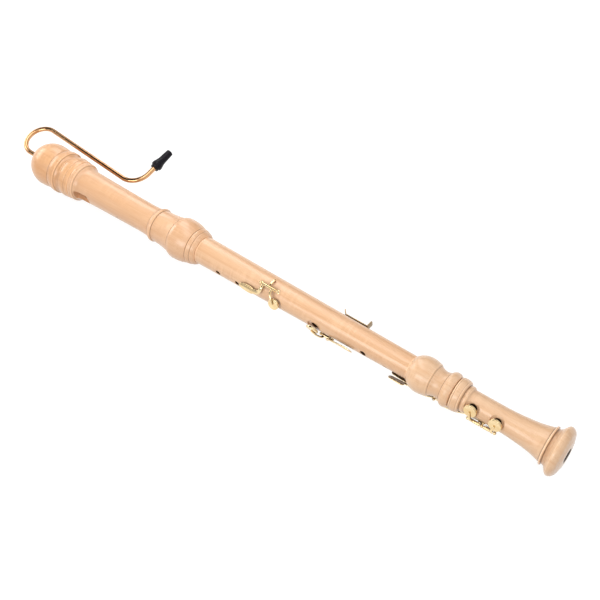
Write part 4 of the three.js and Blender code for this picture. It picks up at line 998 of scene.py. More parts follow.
# Each joint's billet: where its grain starts, and shares of the settings' red, green and blue
BILLETS = dict(
    maple_foot=(1.0, (1.01, 1.1, 1.2)),
    maple_middle=(2.6, (0.99, 1.03, 1.08)),
    maple_head=(4.3, (0.95, 0.95, 0.97)),
    maple_cap=(5.9, (0.92, 0.865, 0.79)),
)

# Knots of the head: height over its lower end, angle and reach
HEAD_KNOTS = ((161.0, 91.0, 1.0),)

LOOKS = {}


def new_look(name, finish):
    """A look by its name, from the settings in the scene."""
    if name in BILLETS:
        seed, shares = BILLETS[name]
        tones = [
            [part * share for part, share in zip(tone, shares)]
            for tone in (finish.wood_pale, finish.wood_deep, finish.wood_warm)
        ]
        return maple_look(name, seed, tones, HEAD_KNOTS if name == "maple_head" else ())
    # Each metal: colour, deep colour, roughness, seed and share of painted shade on what faces the wood
    metals = dict(
        key_brass=(finish.brass, finish.brass_deep, finish.key_roughness, 1.0, 0.9),
        worn_brass=(finish.worn_brass, finish.brass_deep, 0.34, 5.0, 0.9),
        pipe_brass=(finish.pipe_brass, finish.pipe_deep, finish.pipe_roughness, 3.0, 0.0),
        steel=(finish.steel, finish.steel_deep, 0.24, 2.0, 0.0),
    )
    if name in metals:
        return metal_look(name, *metals[name])
    plain = dict(cedar=cedar_look, plastic=plastic_look, cork=cork_look, pad=pad_look, felt=felt_look)
    return plain[name](finish)


def look(name):
    """The named look, made on first use."""
    if name not in LOOKS:
        LOOKS[name] = new_look(name, bpy.context.scene.recorder_finish)
    return LOOKS[name]


# Turned joints


def seat_of(key, wood):
    """How far from the axis a key's flat seat lies."""
    return math.sqrt(wood**2 - pad_radius(key) ** 2) - KEYWORK["seat_dip"]


def pad_radius(key):
    """The radius of the pad inside its cup."""
    return key["cup_radius"] - KEYWORK["cup_wall"] - GAP


def hole_cutter(radius, wood, station, angle):
    """A drill with a small chamfer where it leaves the wood."""
    wide = radius + HOLE_CHAMFER
    line = [
        (0, 0), (radius, 0), (radius, wood - HOLE_CHAMFER), (wide, wood + CHAMFER_OVERRUN),
        (wide, wood + OVERRUN), (0, wood + OVERRUN),
    ]
    return stood("tone_hole", line, station, angle, HOLE_SIDES, corner=0.15)


def seat_cutters(key, station, wood):
    """The flat seat of a pad, with a rounded inner rim, and the tone hole under it."""
    seat = seat_of(key, wood)
    outer = key["cup_radius"] + KEYWORK["seat_margin"]
    narrow, wide = key["hole"], key["hole"] + SEAT_CHAMFER
    dish = [(0, seat), (outer, seat), (outer, wood + OVERRUN), (0, wood + OVERRUN)]
    hole = [
        (0, 0), (narrow, 0), (narrow, seat - SEAT_CHAMFER), (wide, seat + CHAMFER_OVERRUN),
        (wide, seat + 1.0), (0, seat + 1.0),
    ]
    return [
        stood("seat_cut", dish, station, key["cup_angle"], SEAT_SIDES, corner=0.25),
        stood("hole_cut", hole, station, key["cup_angle"], HOLE_SIDES, corner=0.15),
    ]


def well_of(key, station, line):
    """A pad's tone hole, with painted shade from a little under its seat."""
    level = seat_of(key, radius_at(line, station)) - SEAT_CLEAR_DEPTH
    return station, key["cup_angle"], key["hole"], level


def post_cutter(station, angle, wood):
    """The drill for a post's spigot."""
    low, high = wood - KEYWORK["depth"] - GAP, wood + OVERRUN
    return cylinder("post_cut", KEYWORK["stem"] + GAP, low, high, station, angle)


def key_post_cutters(key, offset, line):
    """The drills for the posts of a key's hinge."""
    return [
        post_cutter(offset + height, key["rod_angle"], radius_at(line, offset + height))
        for height in key["posts"]
    ]


def tenon(shoulder, length, socket, direction):
    """A tenon with a groove for its cork, from the shoulder outward, as (radius, station) pairs."""
    radius, inset = socket - GAP, LAPPING["shoulder"]
    groove = radius - LAPPING["groove"]
    steps = [(radius, 0), (radius, inset), (groove, inset), (groove, length - inset)]
    steps += [(radius, length - inset), (radius, length)]
    return [(r, shoulder + direction * distance) for r, distance in steps]


def make_foot():
    """The foot joint: its outline and bore turned, its seats, tone holes and posts' holes drilled."""
    bore = [
        (FOOT["socket"], FOOT_END), (FOOT["socket"], FOOT_END - FOOT["socket_depth"]),
        (MIDDLE["lower_bore"], FOOT_END - FOOT["socket_depth"]), (FOOT["lower_bore"], FOOT["exit_depth"]),
        (FOOT["exit_bore"], 0),
    ]
    outside = scored(FOOT_LINE, FOOT_SPANS, FOOT_SCORES)
    piece = revolved("foot", np.vstack([outside, bore]))
    cutters, wells = [], []
    for key in FOOT_KEYS:
        cutters += seat_cutters(key, key["cup_height"], radius_at(FOOT_LINE, key["cup_height"]))
        wells.append(well_of(key, key["cup_height"], FOOT_LINE))
    cutters += key_post_cutters(FOOT_KEY, 0, FOOT_LINE)
    cutters += [post_cutter(post["station"], post["angle"], post["wood"]) for post in lever_posts()]
    measured(carved(piece, *cutters), FOOT_LINE, CLEAR_DEPTH, wells)
    finished(piece, "foot_joint", "maple_foot")


def make_middle():
    """The middle joint: two tenons, a bore that tapers toward the foot, and the holes of its side."""
    lower = tenon(FOOT_END + GAP, MIDDLE["lower_tenon"], FOOT["socket"], -1)[::-1]
    upper = tenon(MIDDLE_END - GAP, MIDDLE["upper_tenon"], HEAD["socket"], 1)
    shaft = [(MIDDLE["face"], FOOT_END + GAP), (MIDDLE_LINE[-1, 0], MIDDLE_END - GAP)]
    bore = [(MIDDLE["upper_bore"], upper[-1][1]), (MIDDLE["lower_bore"], lower[0][1])]
    piece = revolved("middle", [*lower, *shaft, *upper, *bore])
    cutters, wells = [], []
    for height, angle, radius in TONE_HOLES:
        station = FOOT_END + height
        wood = radius_at(MIDDLE_LINE, station)
        cutters.append(hole_cutter(radius, wood, station, angle))
        wells.append((station, angle, radius, wood - HOLE_CHAMFER))
    for key in (LEFT_KEY, RIGHT_KEY):
        station = FOOT_END + key["cup_height"]
        cutters += seat_cutters(key, station, radius_at(MIDDLE_LINE, station))
        cutters += key_post_cutters(key, FOOT_END, MIDDLE_LINE)
        wells.append(well_of(key, station, MIDDLE_LINE))
    screw = FOOT_END + THUMB_REST["screw_height"]
    wood = radius_at(MIDDLE_LINE, screw)
    low = wood - THUMB_REST["screw_depth"] - GAP
    cutters.append(cylinder("screw_cut", THUMB_REST["screw"] + GAP, low, wood + OVERRUN, screw, BACK))
    measured(carved(piece, *cutters), MIDDLE_LINE, CLEAR_DEPTH, wells)
    finished(piece, "middle_joint", "maple_middle")


def make_head():
    """The head joint: its outline, bore and tenon turned, its window and windway cut."""
    upper = tenon(HEAD_END, HEAD["tenon"], CAP["socket"], 1)
    inside = [
        (HEAD["bore"], HEAD_END + HEAD["tenon"]), (HEAD["bore"], MIDDLE_END + HEAD["socket_depth"]),
        (HEAD["socket"], MIDDLE_END + HEAD["socket_depth"]), (HEAD["socket"], MIDDLE_END),
    ]
    outside = scored(HEAD_LINE, row_spans(HEAD_ROWS, MIDDLE_END), HEAD_SCORES)
    piece = revolved("head", np.vstack([outside, upper, inside]))
    top = MIDDLE_END + VOICE["window_top"]
    edge = top - VOICE["window"]
    ramp = edge - VOICE["ramp"]
    outside = radius_at(HEAD_LINE, HEAD_END) + OVERRUN
    lip = HEAD["bore"] + VOICE["labium"]
    wood = radius_at(HEAD_LINE, ramp)
    side = [(top, 0), (top, outside), (ramp, outside), (ramp, wood), (edge, lip), (edge, 0)]
    window = slab("window_cut", side, VOICE["width"] / 2, FRONT)
    windway = windway_cutter(top, HEAD_END + HEAD["tenon"] + OVERRUN)
    measured(carved(piece, window, windway), HEAD_LINE, HEAD_CLEAR_DEPTH)
    finished(piece, "head_joint", "maple_head")


def windway_cutter(low, high):
    """The windway: an arched slot, one parameter along it and one round its section."""
    half, roof = VOICE["width"] / 2, HEAD["bore"] + VOICE["windway"]
    across = np.linspace(-half, half, 33)
    arch = np.stack([across, np.sqrt(roof**2 - across**2)], axis=1)
    level = np.full(len(across), HEAD["bore"] * VOICE["windway_floor"])
    section = np.vstack([arch, np.stack([across[::-1], level], axis=1)])
    rings = np.stack([
        np.column_stack([np.full(len(section), -station), section]) for station in (low - WELD, high)
    ])
    return grid_mesh("windway_cut", placed(closed_ends(rings.mean(axis=1), rings), 0, FRONT))


def make_cap():
    """The cap: domed outside, and inside its socket, a tapering chamber and the pipe's hole."""
    low = HEAD_END + GAP
    socket_top = low + CAP["socket_depth"]
    chamber_top = socket_top + CAP["chamber_length"]
    inside = [
        (CAP["pipe_hole"], CAP_END), (CAP["pipe_hole"], chamber_top),
        (CAP["chamber"], socket_top + CAP["chamber_length"] / 2), (CAP["chamber"], socket_top),
        (CAP["socket"], socket_top), (CAP["socket"], low),
    ]
    outside = scored(CAP_LINE, row_spans(CAP_ROWS, low), CAP_SCORES)
    piece = revolved("cap", np.vstack([outside, inside]))
    finished(measured(piece, CAP_LINE), "cap", "maple_cap")


# Block and corks


def make_block():
    """The block: a plug with a bevel at its end toward the window."""
    low = MIDDLE_END + VOICE["window_top"] + GAP
    high = HEAD_END + HEAD["tenon"]
    radius, bevel = HEAD["bore"] - GAP, VOICE["bevel"]
    line = [(0, low), (radius - bevel, low), (radius, low + bevel), (radius, high), (0, high)]
    finished(revolved("block", line, closed=False, sides=SEAT_SIDES), "fipple_block", "cedar")


def make_lapping(node, shoulder, length, socket, direction, crown=0.15):
    """A band of cork, slightly crowned, in its groove."""
    outer, inner = socket - GAP, socket - LAPPING["groove"]
    inset = LAPPING["shoulder"] + GAP
    low, high = sorted((shoulder + direction * inset, shoulder + direction * (length - inset)))
    line = [
        (inner, low), (outer - crown, low), (outer, (low + high) / 2), (outer - crown, high), (inner, high),
    ]
    finished(revolved(node, line, sides=BAND_SIDES), node, "cork")


def make_pipe_cork():
    """The ring of cork between the pipe and the cap."""
    high = CAP_END - GAP
    low = high - PIPE["cork"]
    inner, outer = PIPE["radius"] + GAP, CAP["pipe_hole"] - GAP
    line = [(inner, low), (outer, low), (outer, high), (inner, high)]
    finished(revolved("pipe_cork", line, sides=SEAT_SIDES, corner=0.2), "pipe_cork", "cork")


# Blowing pipe and mouthpiece


def pipe_line():
    """The pipe's centre line in its own plane: straight runs and true arcs, sampled every few degrees.
    Gives (distance along the axis, distance from it) and the heading at each point."""
    degrees_apart, apart = 3.0, 12
    place, heading = np.array([CAP_END - PIPE["in_cap"], 0.0]), 0.0
    places, headings = [place], [heading]
    legs = (
        (PIPE["in_cap"] + PIPE["straight_out"], 0.0), (PIPE["loop_radius"], PIPE["loop_turn"]),
        (PIPE["run"], 0.0), (PIPE["end_radius"], -PIPE["end_turn"]), (PIPE["end"], 0.0),
    )
    for size, degrees in legs:
        if degrees:
            count = math.ceil(abs(degrees) / degrees_apart)
            part = math.radians(degrees) / count
            length = 2 * size * math.sin(abs(part) / 2)
        else:
            count = max(2, math.ceil(size / apart))
            part, length = 0.0, size / count
        middles = heading + part * (np.arange(count) + 0.5)
        ends = heading + part * (np.arange(count) + 1)
        run = place + np.cumsum(length * np.stack([np.cos(middles), np.sin(middles)], axis=1), axis=0)
        places += list(run)
        headings += list(ends)
        place, heading = run[-1], ends[-1]
    return np.array(places), np.array(headings)


def pipe_frames():
    """Points, tangents, and the two directions across the pipe."""
    places, headings = pipe_line()
    plane = math.radians(PIPE["plane"])
    out = np.array([0.0, -math.sin(plane), math.cos(plane)])
    points = spot(places[:, 0], PIPE["plane"], places[:, 1])
    tangents = np.stack([-np.cos(headings), *np.outer(out[1:], np.sin(headings))], axis=1)
    across = np.cross(np.array([-1.0, 0.0, 0.0]), out)
    return points, tangents, np.cross(across, tangents), across


def make_pipe():
    """A tube: the outer wall along the line and back along the bore, closed on itself over its lips."""
    points, _, side, across = pipe_frames()
    turn = circle(SMALL_SIDES)
    ring = side[:, None] * np.cos(turn)[None, :, None] + across * np.sin(turn)[None, :, None]
    outer = points[:, None] + ring * PIPE["radius"]
    inner = points[:, None] + ring * PIPE["bore"]
    first, last = ((points[i] + ring[i] * (PIPE["radius"] - PIPE["lip"]))[None] for i in (0, -1))
    outer[0] += (points[1] - points[0]) * PIPE["lip_share"]
    outer[-1] -= (points[-1] - points[-2]) * PIPE["lip_share"]
    grid = np.concatenate([first, outer, last, inner[::-1]])
    finished(grid_mesh("pipe", grid, wrap_rows=True), "blowing_pipe", "pipe_brass")


def make_mouthpiece():
    """The mouthpiece turned about the pipe's end."""
    outside = turned(MOUTHPIECE_ROWS, MOUTHPIECE["face"])
    length, grip = outside[-1, 1], MOUTHPIECE["grip"] + GAP
    sleeve = PIPE["radius"] + GAP
    inside = [(MOUTHPIECE["bore"], length), (MOUTHPIECE["bore"], grip), (sleeve, grip), (sleeve, 0)]
    line = softened(np.vstack([outside, inside]), 0.3, True)
    points, tangents, sides, across = pipe_frames()
    start = points[-1] - tangents[-1] * MOUTHPIECE["grip"]
    turn = circle(SEAT_SIDES)
    ring = sides[-1] * np.cos(turn)[:, None] + across * np.sin(turn)[:, None]
    grid = start + tangents[-1] * line[:, 1, None, None] + ring[None] * line[:, 0, None, None]
    finished(grid_mesh("mouthpiece", grid, wrap_rows=True), "mouthpiece", "plastic")


# Keywork


def joined(first, *others):
    """The pieces made one."""
    return carved(first, *others, operation="UNION")


def make_post(node, station, angle, wood, ball_at, bore, flange=KEYWORK["flange"]):
    """A turned post: spigot, flange, waisted stem and ball, bored for its rod."""
    stem, ball = KEYWORK["stem"], KEYWORK["ball"]
    low, seat = wood - KEYWORK["depth"], wood + GAP
    top = seat + KEYWORK["flange_thickness"]
    neck = ball_at - math.sqrt(ball**2 - stem**2)
    turn = np.linspace(-math.acos(stem / ball), math.pi / 2, 12)
    foot = [
        (0, low), (stem, low), (stem, seat), (flange, seat), (flange, top - POST["edge"]),
        (flange * POST["shoulder"], top), (stem + POST["swell"], top + POST["swell_height"]),
        (stem, (top + neck) / 2),
    ]
    line = np.vstack([foot, np.stack([ball * np.cos(turn), ball_at + ball * np.sin(turn)], axis=1)])
    piece = stood(node, line, station, angle, POST_SIDES, corner=0.12)
    finished(carved(piece, bore()), node, "key_brass")


def hinge_line(key, offset, line):
    """The rod's distance from the axis and the stations of its posts."""
    stations = [offset + height for height in key["posts"]]
    wood = max(radius_at(line, station) for station in stations)
    return wood + key["rod_lift"], stations


def make_hinge(key, offset, line):
    """The posts of a hinge and its rod, with a screwdriver slot across the rod's upper end."""
    distance, stations = hinge_line(key, offset, line)
    low, high = stations[-1] - KEYWORK["ball"], stations[0] + KEYWORK["ball"]
    angle, node = key["rod_angle"], key["name"] + "_rod"
    names = {2: ("upper", "lower"), 3: ("upper", "middle", "lower")}[len(stations)]

    def bore():
        return lying("rod_cut", KEYWORK["rod"] + RUNNING, low - OVERRUN, high + OVERRUN, angle, distance)

    for station, place in zip(stations, names):
        wood = radius_under(line, station, KEYWORK["flange"])
        make_post(f"{key['name']}_post_{place}", station, angle, wood, distance, bore)
    rod = lying(node, KEYWORK["rod"], low, high, angle, distance)
    size = (SLOT["depth"], SLOT["width"], 4 * KEYWORK["rod"])
    slot = box_piece("slot_cut", size, (0, 0, distance), high, angle, SLOT["edge"])
    finished(carved(rod, slot), node, "steel")


def key_spaces(key, offset, line):
    """For each key on a hinge: the rod's distance, the post above and the ends of its tube."""
    distance, stations = hinge_line(key, offset, line)
    clear = KEYWORK["ball"] + GAP
    return [
        dict(distance=distance, post=above, low=below + clear, high=above - clear)
        for above, below in zip(stations, stations[1:])
    ]


def cup_levels(seat):
    """How far from the axis the faces of a closed pad lie, and its cup's rim, ceiling and top."""
    low = seat + GAP
    high = low + KEYWORK["pad"]
    ceiling = high + GAP
    rim = low + KEYWORK["pad_show"]
    return dict(low=low, high=high, rim=rim, ceiling=ceiling, top=ceiling + KEYWORK["cup_wall"])


def cup_shell(key, station, levels):
    """A pad cup: slightly domed top, rounded shoulder, thin rolled rim."""
    outer, edge = key["cup_radius"], KEYWORK["cup_edge"]
    top, rim = levels["top"], levels["rim"]
    dome = np.linspace(0, outer - edge, 8)
    crown = np.stack([dome, top + CUP["crown"] * (1 - (dome / outer) ** 2)], axis=1)
    side = [
        (outer - edge * CUP["shoulder_in"], top - edge * CUP["shoulder_drop"]),
        (outer, top - edge * CUP["side_drop"]), (outer, rim + CUP["bead_high"]),
        (outer + CUP["bead"], rim + CUP["bead_low"]), (outer, rim), (outer - KEYWORK["cup_wall"], rim),
        (outer - KEYWORK["cup_wall"], levels["ceiling"]), (0, levels["ceiling"]),
    ]
    return stood("cup", np.vstack([crown, side]), station, key["cup_angle"], CUP_SIDES, corner=0.2)


def pad_disc(key, station, levels):
    """A pad: a disc with a soft edge, pressed in by the ring of its tone hole."""
    radius, low, high = pad_radius(key), levels["low"], levels["high"]
    ring, width, edge = key["hole"] + PAD["ring"], PAD["ring_width"], PAD["edge"]
    line = [
        (0, low), (ring - width, low), (ring, low + PAD["ring_depth"]), (ring + width, low),
        (radius - edge, low), (radius, low + edge), (radius, high), (0, high),
    ]
    return stood("pad", line, station, key["cup_angle"], CUP_SIDES, corner=0.25)


def tapered_arm(points, landing):
    """A flat oval arm along a smooth line, its width blending from 1 at its root to its landing."""
    path, ends = rounded_ends(smooth_path(points), ARM["end"])
    share = np.linspace(0, 1, len(path))
    blend = share**2 * (3 - 2 * share)
    out = path - ORIGIN
    out[:, 0] = 0
    closing = ARM["blunt"] + (1 - ARM["blunt"]) * ends
    width = (1 + (landing - 1) * blend) * closing
    section = round_section(1.0, ARM_SIDES) * [ARM["width"] / 2, KEYWORK["arm"] * ARM["thickness"]]
    return swept("arm", path, section, out, np.stack([width, closing], axis=1))


def cup_arm(key, station, arm_station, distance, levels):
    """The arm from the tube over the rim of the cup to the middle of its top."""
    top = levels["top"] + KEYWORK["arm"] - WELD
    side = math.copysign(1, key["rod_angle"] - key["cup_angle"])
    edge = math.degrees(math.atan2(key["cup_radius"], top)) * side
    rim = math.hypot(key["cup_radius"], top)
    between = key["cup_angle"] + edge + (key["rod_angle"] - key["cup_angle"] - edge) * CUP_ARM_SHARE
    return tapered_arm([
        spot(arm_station, key["rod_angle"], distance + WELD),
        spot(arm_station, between, max(rim, distance) + WELD),
        spot(arm_station + (station - arm_station) * CUP_ARM_SHARE, key["cup_angle"] + edge, rim),
        spot(station, key["cup_angle"], top),
    ], ARM["at_cup"])


def key_tube(key, space):
    """The hinge tube with a thin collar at each end."""
    low, high, rise = space["low"], space["high"], COLLAR["rise"]
    at = (key["rod_angle"], space["distance"])
    return [
        lying("tube", KEYWORK["tube"], low, high, *at),
        lying("collar", KEYWORK["tube"] + rise, low, low + COLLAR["length"], *at, dome=rise),
        lying("collar", KEYWORK["tube"] + rise, high - COLLAR["length"], high, *at, dome=rise),
    ]


def catch_block(key, space):
    """The catch under the tube that the spring bears on."""
    high = space["distance"]
    deep = high - KEYWORK["spring_drop"] - KEYWORK["spring"]
    aside = (KEYWORK["spring"] + GAP + KEYWORK["rod"] / 2) * math.copysign(1, key["opens"])
    size = (KEYWORK["catch"], KEYWORK["rod"], high - deep)
    station = space["low"] + KEYWORK["catch"]
    return box_piece("catch", size, (0, aside, (high + deep) / 2), station, key["rod_angle"])


def cross_strip(name, line, thickness, station, width, corner=0.7):
    """A flat strip in the instrument's cross-section: its line is (angle, radius) pairs."""
    edge = 0.35
    places = np.array([spot(0, angle, radius)[1:] for angle, radius in line])
    path = rounded_line(places, corner)
    path = np.column_stack([np.full(len(path), ORIGIN[0] - station), path])
    path, sizes = rounded_ends(path, edge)
    up = np.cross([1.0, 0.0, 0.0], np.gradient(path, axis=0))
    shares = end_sizes(width, thickness, edge, sizes)
    return swept(name, path, bar_section(width, thickness, edge), up, shares)


def needle(key, space):
    """A needle spring, tapered to its tip."""
    high = space["post"] - KEYWORK["flange"] - GAP
    low = space["low"] + KEYWORK["catch"] / 2
    path = lying_path(high, low, space["distance"] - KEYWORK["spring_drop"], 12)
    size = np.linspace(1.0, KEYWORK["spring_tip"], len(path))
    section = round_section(KEYWORK["spring"], NEEDLE_SIDES)
    path = placed(path, 0, key["rod_angle"])
    piece = swept("needle", path, section, ASLANT, np.stack([size, size], axis=1))
    finished(piece, key["name"] + "_spring", "steel")


def swing_open(piece, key, distance):
    """Turns a piece that was drawn with the key closed to where it stands open."""
    centre = spot(0, key["rod_angle"], distance)
    points = swung(points_of(piece.data), centre, key["opens"]) * MM
    piece.data.vertices.foreach_set("co", points.ravel())
    piece.data.update()
    return piece


def make_key(key, offset, line, space, working):
    """One key: tube, cup, arm and what works it, joined and bored, and its pad, all swung open."""
    distance = space["distance"]
    station = offset + key["cup_height"]
    levels = cup_levels(seat_of(key, radius_at(line, station)))
    tube, *collars = key_tube(key, space)
    cup = cup_shell(key, station, levels)
    arm = cup_arm(key, station, offset + key["cup_arm"], distance, levels)
    body = joined(tube, *collars, cup, arm, catch_block(key, space), *working)
    low, high = space["low"] - OVERRUN, space["high"] + OVERRUN
    bore = lying("bore_cut", KEYWORK["rod"] + RUNNING, low, high, key["rod_angle"], distance)
    finished(swing_open(carved(body, bore), key, distance), key["name"], "key_brass")
    pad = swing_open(pad_disc(key, station, levels), key, distance)
    finished(pad, key["name"] + "_pad", "pad")


def part_way(key, angle, share):
    """The angle that lies a share of the way from a key's rod to another angle."""
    return key["rod_angle"] + (angle - key["rod_angle"]) * share


def make_finger_key(key):
    """A key of the middle joint with its hinge, touch, felted heel and spring."""
    make_hinge(key, FOOT_END, MIDDLE_LINE)
    space = key_spaces(key, FOOT_END, MIDDLE_LINE)[0]
    middle = FOOT_END + (key["touch_low"] + key["touch_high"]) / 2
    inner = radius_at(MIDDLE_LINE, middle) + key["touch_lift"]
    length = key["touch_high"] - key["touch_low"]
    outline = leaf_outline(length, key["touch_width"], TOUCH_FAR_SHARE)
    touch = touch_plate("touch", outline, inner, KEYWORK["plate"], middle, key["touch_angle"])
    arm_at = FOOT_END + key["touch_arm"]
    crest = inner + KEYWORK["plate"] / 2
    near = FOOT_END + (key["touch_high"] if key["touch_high"] < key["touch_arm"] else key["touch_low"])
    landing = near + (middle - near) * TOUCH_IN_SHARE
    rise = part_way(key, key["touch_angle"], TOUCH_RISE_SHARE)
    land = part_way(key, key["touch_angle"], TOUCH_LAND_SHARE)
    arm = tapered_arm([
        spot(arm_at, key["rod_angle"], space["distance"] + WELD),
        spot(arm_at, rise, max(crest, space["distance"]) + WELD),
        spot(arm_at + (landing - arm_at) * TOUCH_ALONG_SHARE, land, crest + WELD),
        spot(landing, key["touch_angle"], crest),
    ], ARM["at_touch"])
    heel, felt = heel_pieces(key, space)
    make_key(key, FOOT_END, MIDDLE_LINE, space, [touch, arm, heel])
    finished(swing_open(felt, key, space["distance"]), key["name"] + "_heel_felt", "felt")
    needle(key, space)


def closed_place(key, distance, point):
    """Where a point of the open key lies when the key is closed, as (angle, radius)."""
    centre = spot(0, key["rod_angle"], distance)
    place = swung(point, centre, -key["opens"]) - ORIGIN
    return math.degrees(math.atan2(-place[1], place[2])), math.hypot(place[1], place[2])


def heel_pieces(key, space):
    """The heel reaches round from the tube; open, its felt lies on the wood."""
    station = FOOT_END + key["heel_height"]
    wood = radius_at(MIDDLE_LINE, station)
    rest = wood + GAP + KEYWORK["felt"] + KEYWORK["plate"] / 2 + GAP
    distance = space["distance"]

    def at(share, radius):
        return closed_place(key, distance, spot(0, part_way(key, key["heel_angle"], share), radius))

    line = [
        (key["rod_angle"], distance),
        at(HEEL_OUT_SHARE, distance + WELD),
        at(HEEL_DROP_SHARE, rest + (distance - rest) * HEEL_LEVEL_SHARE),
        at(1.0, rest),
    ]
    under = rest - KEYWORK["plate"] / 2 - GAP - KEYWORK["felt"] / 2
    felt = [at(share, under) for share in (HEEL_FELT_SHARE, 1.0)]
    return (
        cross_strip("heel", line, KEYWORK["plate"], station, key["heel_width"]),
        cross_strip("heel_felt", felt, KEYWORK["felt"], station, key["heel_width"], corner=0.3),
    )


def lever_posts():
    """The two posts of the levers, which stand radially on either side of them."""
    station = FOOT_SPANS["cove"][1]
    posts = []
    for side, name in ((-1, "lever_post_far"), (1, "lever_post_near")):
        aside = side * LEVER_PAIR["post_spread"] / 2
        posts.append(dict(
            name=name, station=station,
            angle=LEVER_PAIR["plane"] - math.degrees(math.atan2(aside, LEVER_PAIR["pivot"])),
            distance=math.hypot(aside, LEVER_PAIR["pivot"]),
            wood=radius_under(FOOT_LINE, station, LEVER_PAIR["flange"]),
        ))
    return posts


def lever_bar(name, radius, low, high):
    """A bar across the levers' plane, through the pivot."""
    path = np.linspace([0, low, LEVER_PAIR["pivot"]], [0, high, LEVER_PAIR["pivot"]], 7)
    station, plane = FOOT_SPANS["cove"][1], LEVER_PAIR["plane"]
    return round_bar(name, radius, path, station, plane, (1.0, 0.0, 0.0), 0.3)


def lever_line(tab):
    """The side of a lever: over the bulb to its touch, and over the beads to its pad key's tab."""
    half = LEVER_PAIR["thickness"] / 2

    def over(station, clearance):
        return station, radius_at(FOOT_LINE, station) + clearance + half

    spans, bulb, bead = FOOT_SPANS, LEVER_PAIR["bulb_clearance"], LEVER_PAIR["bead_clearance"]
    tail = LEVER_PAIR["tail_clearance"]
    return [
        (FOOT_END + LEVER_PAIR["touch_low"] + LEVER_PAIR["width"], LEVER_PAIR["touch_radius"] + half),
        over(spans["bulb_top"][1], bulb), over(spans["bulb"][2], bulb), over(spans["bulb"][1], bulb),
        over(spans["bulb"][0], bulb), (spans["cove"][1], LEVER_PAIR["pivot"]),
        over(spans["big_bead"][1], bead), over(spans["small_bead"][1], bead),
        over(spans["shoulder"][0], tail),
        (tab - LEVER_PAIR["tail_reach"], radius_at(FOOT_LINE, tab) + tail + half),
    ]


def make_lever(spec):
    """A lever: a bent strip with its barrel and touch, joined and bored, and the felt under its tail."""
    key = FOOT_KEYS[LEVERS.index(spec)]
    pair, side = LEVER_PAIR, spec["side"]
    aside = side * pair["spacing"] / 2
    line = rounded_line([(-station, distance) for station, distance in lever_line(key["tab_height"])], 1.0)
    path = np.stack([line[:, 0], np.full(len(line), aside), line[:, 1]], axis=1)
    path, sizes = rounded_ends(path, pair["edge"])
    shares = end_sizes(pair["width"], pair["thickness"], pair["edge"], sizes)
    section = bar_section(pair["width"], pair["thickness"], pair["edge"])
    up = placed([[0.0, 0.0, 1.0]], 0, pair["plane"])[0] - ORIGIN
    strip = swept("strip", placed(path, 0, pair["plane"]), section, up, shares)
    ends = sorted([side * GAP / 2, aside + side * pair["width"] / 2])
    barrel = lever_bar("barrel", pair["barrel"], *ends)
    low, high = FOOT_END + pair["touch_low"], FOOT_END + pair["touch_high"] + spec["extra"]
    outline = blade_outline(high - low, pair["touch_width"], LEVER_FAR_SHARE)
    turn = pair["plane"] - side * pair["touch_turn"]
    touch = touch_plate("touch", outline, pair["touch_radius"], pair["thickness"], (low + high) / 2, turn)
    bore = lever_bar("bore_cut", KEYWORK["rod"] + RUNNING, -pair["post_spread"], pair["post_spread"])
    finished(carved(joined(strip, barrel, touch), bore), spec["name"], "key_brass")
    station = key["tab_height"] - pair["tail_reach"] / 2
    wood = radius_at(FOOT_LINE, station)
    bottom = math.sqrt(wood**2 - (abs(aside) - pair["width"] / 2) ** 2) + GAP
    top = wood + pair["tail_clearance"] - GAP
    size = (pair["tail_reach"], pair["width"] - GAP, top - bottom)
    felt = box_piece("felt", size, (0, aside, (bottom + top) / 2), station, pair["plane"], GAP)
    finished(felt, spec["name"] + "_felt", "felt")


def make_lever_hinge():
    """The two posts of the levers and the rod through them."""
    reach = LEVER_PAIR["post_spread"] / 2 + KEYWORK["ball"]

    def bore():
        return lever_bar("rod_cut", KEYWORK["rod"] + RUNNING, -reach - OVERRUN, reach + OVERRUN)

    for post in lever_posts():
        at = (post["station"], post["angle"], post["wood"], post["distance"])
        make_post(post["name"], *at, bore, LEVER_PAIR["flange"])
    finished(lever_bar("lever_rod", KEYWORK["rod"], -reach, reach), "lever_rod", "steel")


def make_foot_key(key, space):
    """A pad key of the foot: its tab reaches over the tail of its lever."""
    pair, spec = LEVER_PAIR, LEVERS[key["lever"]]
    aside = spec["side"] * pair["spacing"] / 2
    wood = radius_at(FOOT_LINE, key["tab_height"])
    over = wood + pair["tail_clearance"] + pair["thickness"] + GAP + KEYWORK["plate"] / 2

    def at(sideways):
        return closed_place(key, space["distance"], placed([[0.0, sideways, over]], 0, pair["plane"])[0])

    line = [
        (key["rod_angle"], space["distance"]),
        at(aside + pair["width"] / 2 + pair["thickness"]),
        at(aside - pair["width"] / 2),
    ]
    tab = cross_strip("tab", line, KEYWORK["plate"], key["tab_height"], key["tab_width"])
    make_key(key, 0, FOOT_LINE, space, [tab])
    needle(key, space)


# Thumb rest


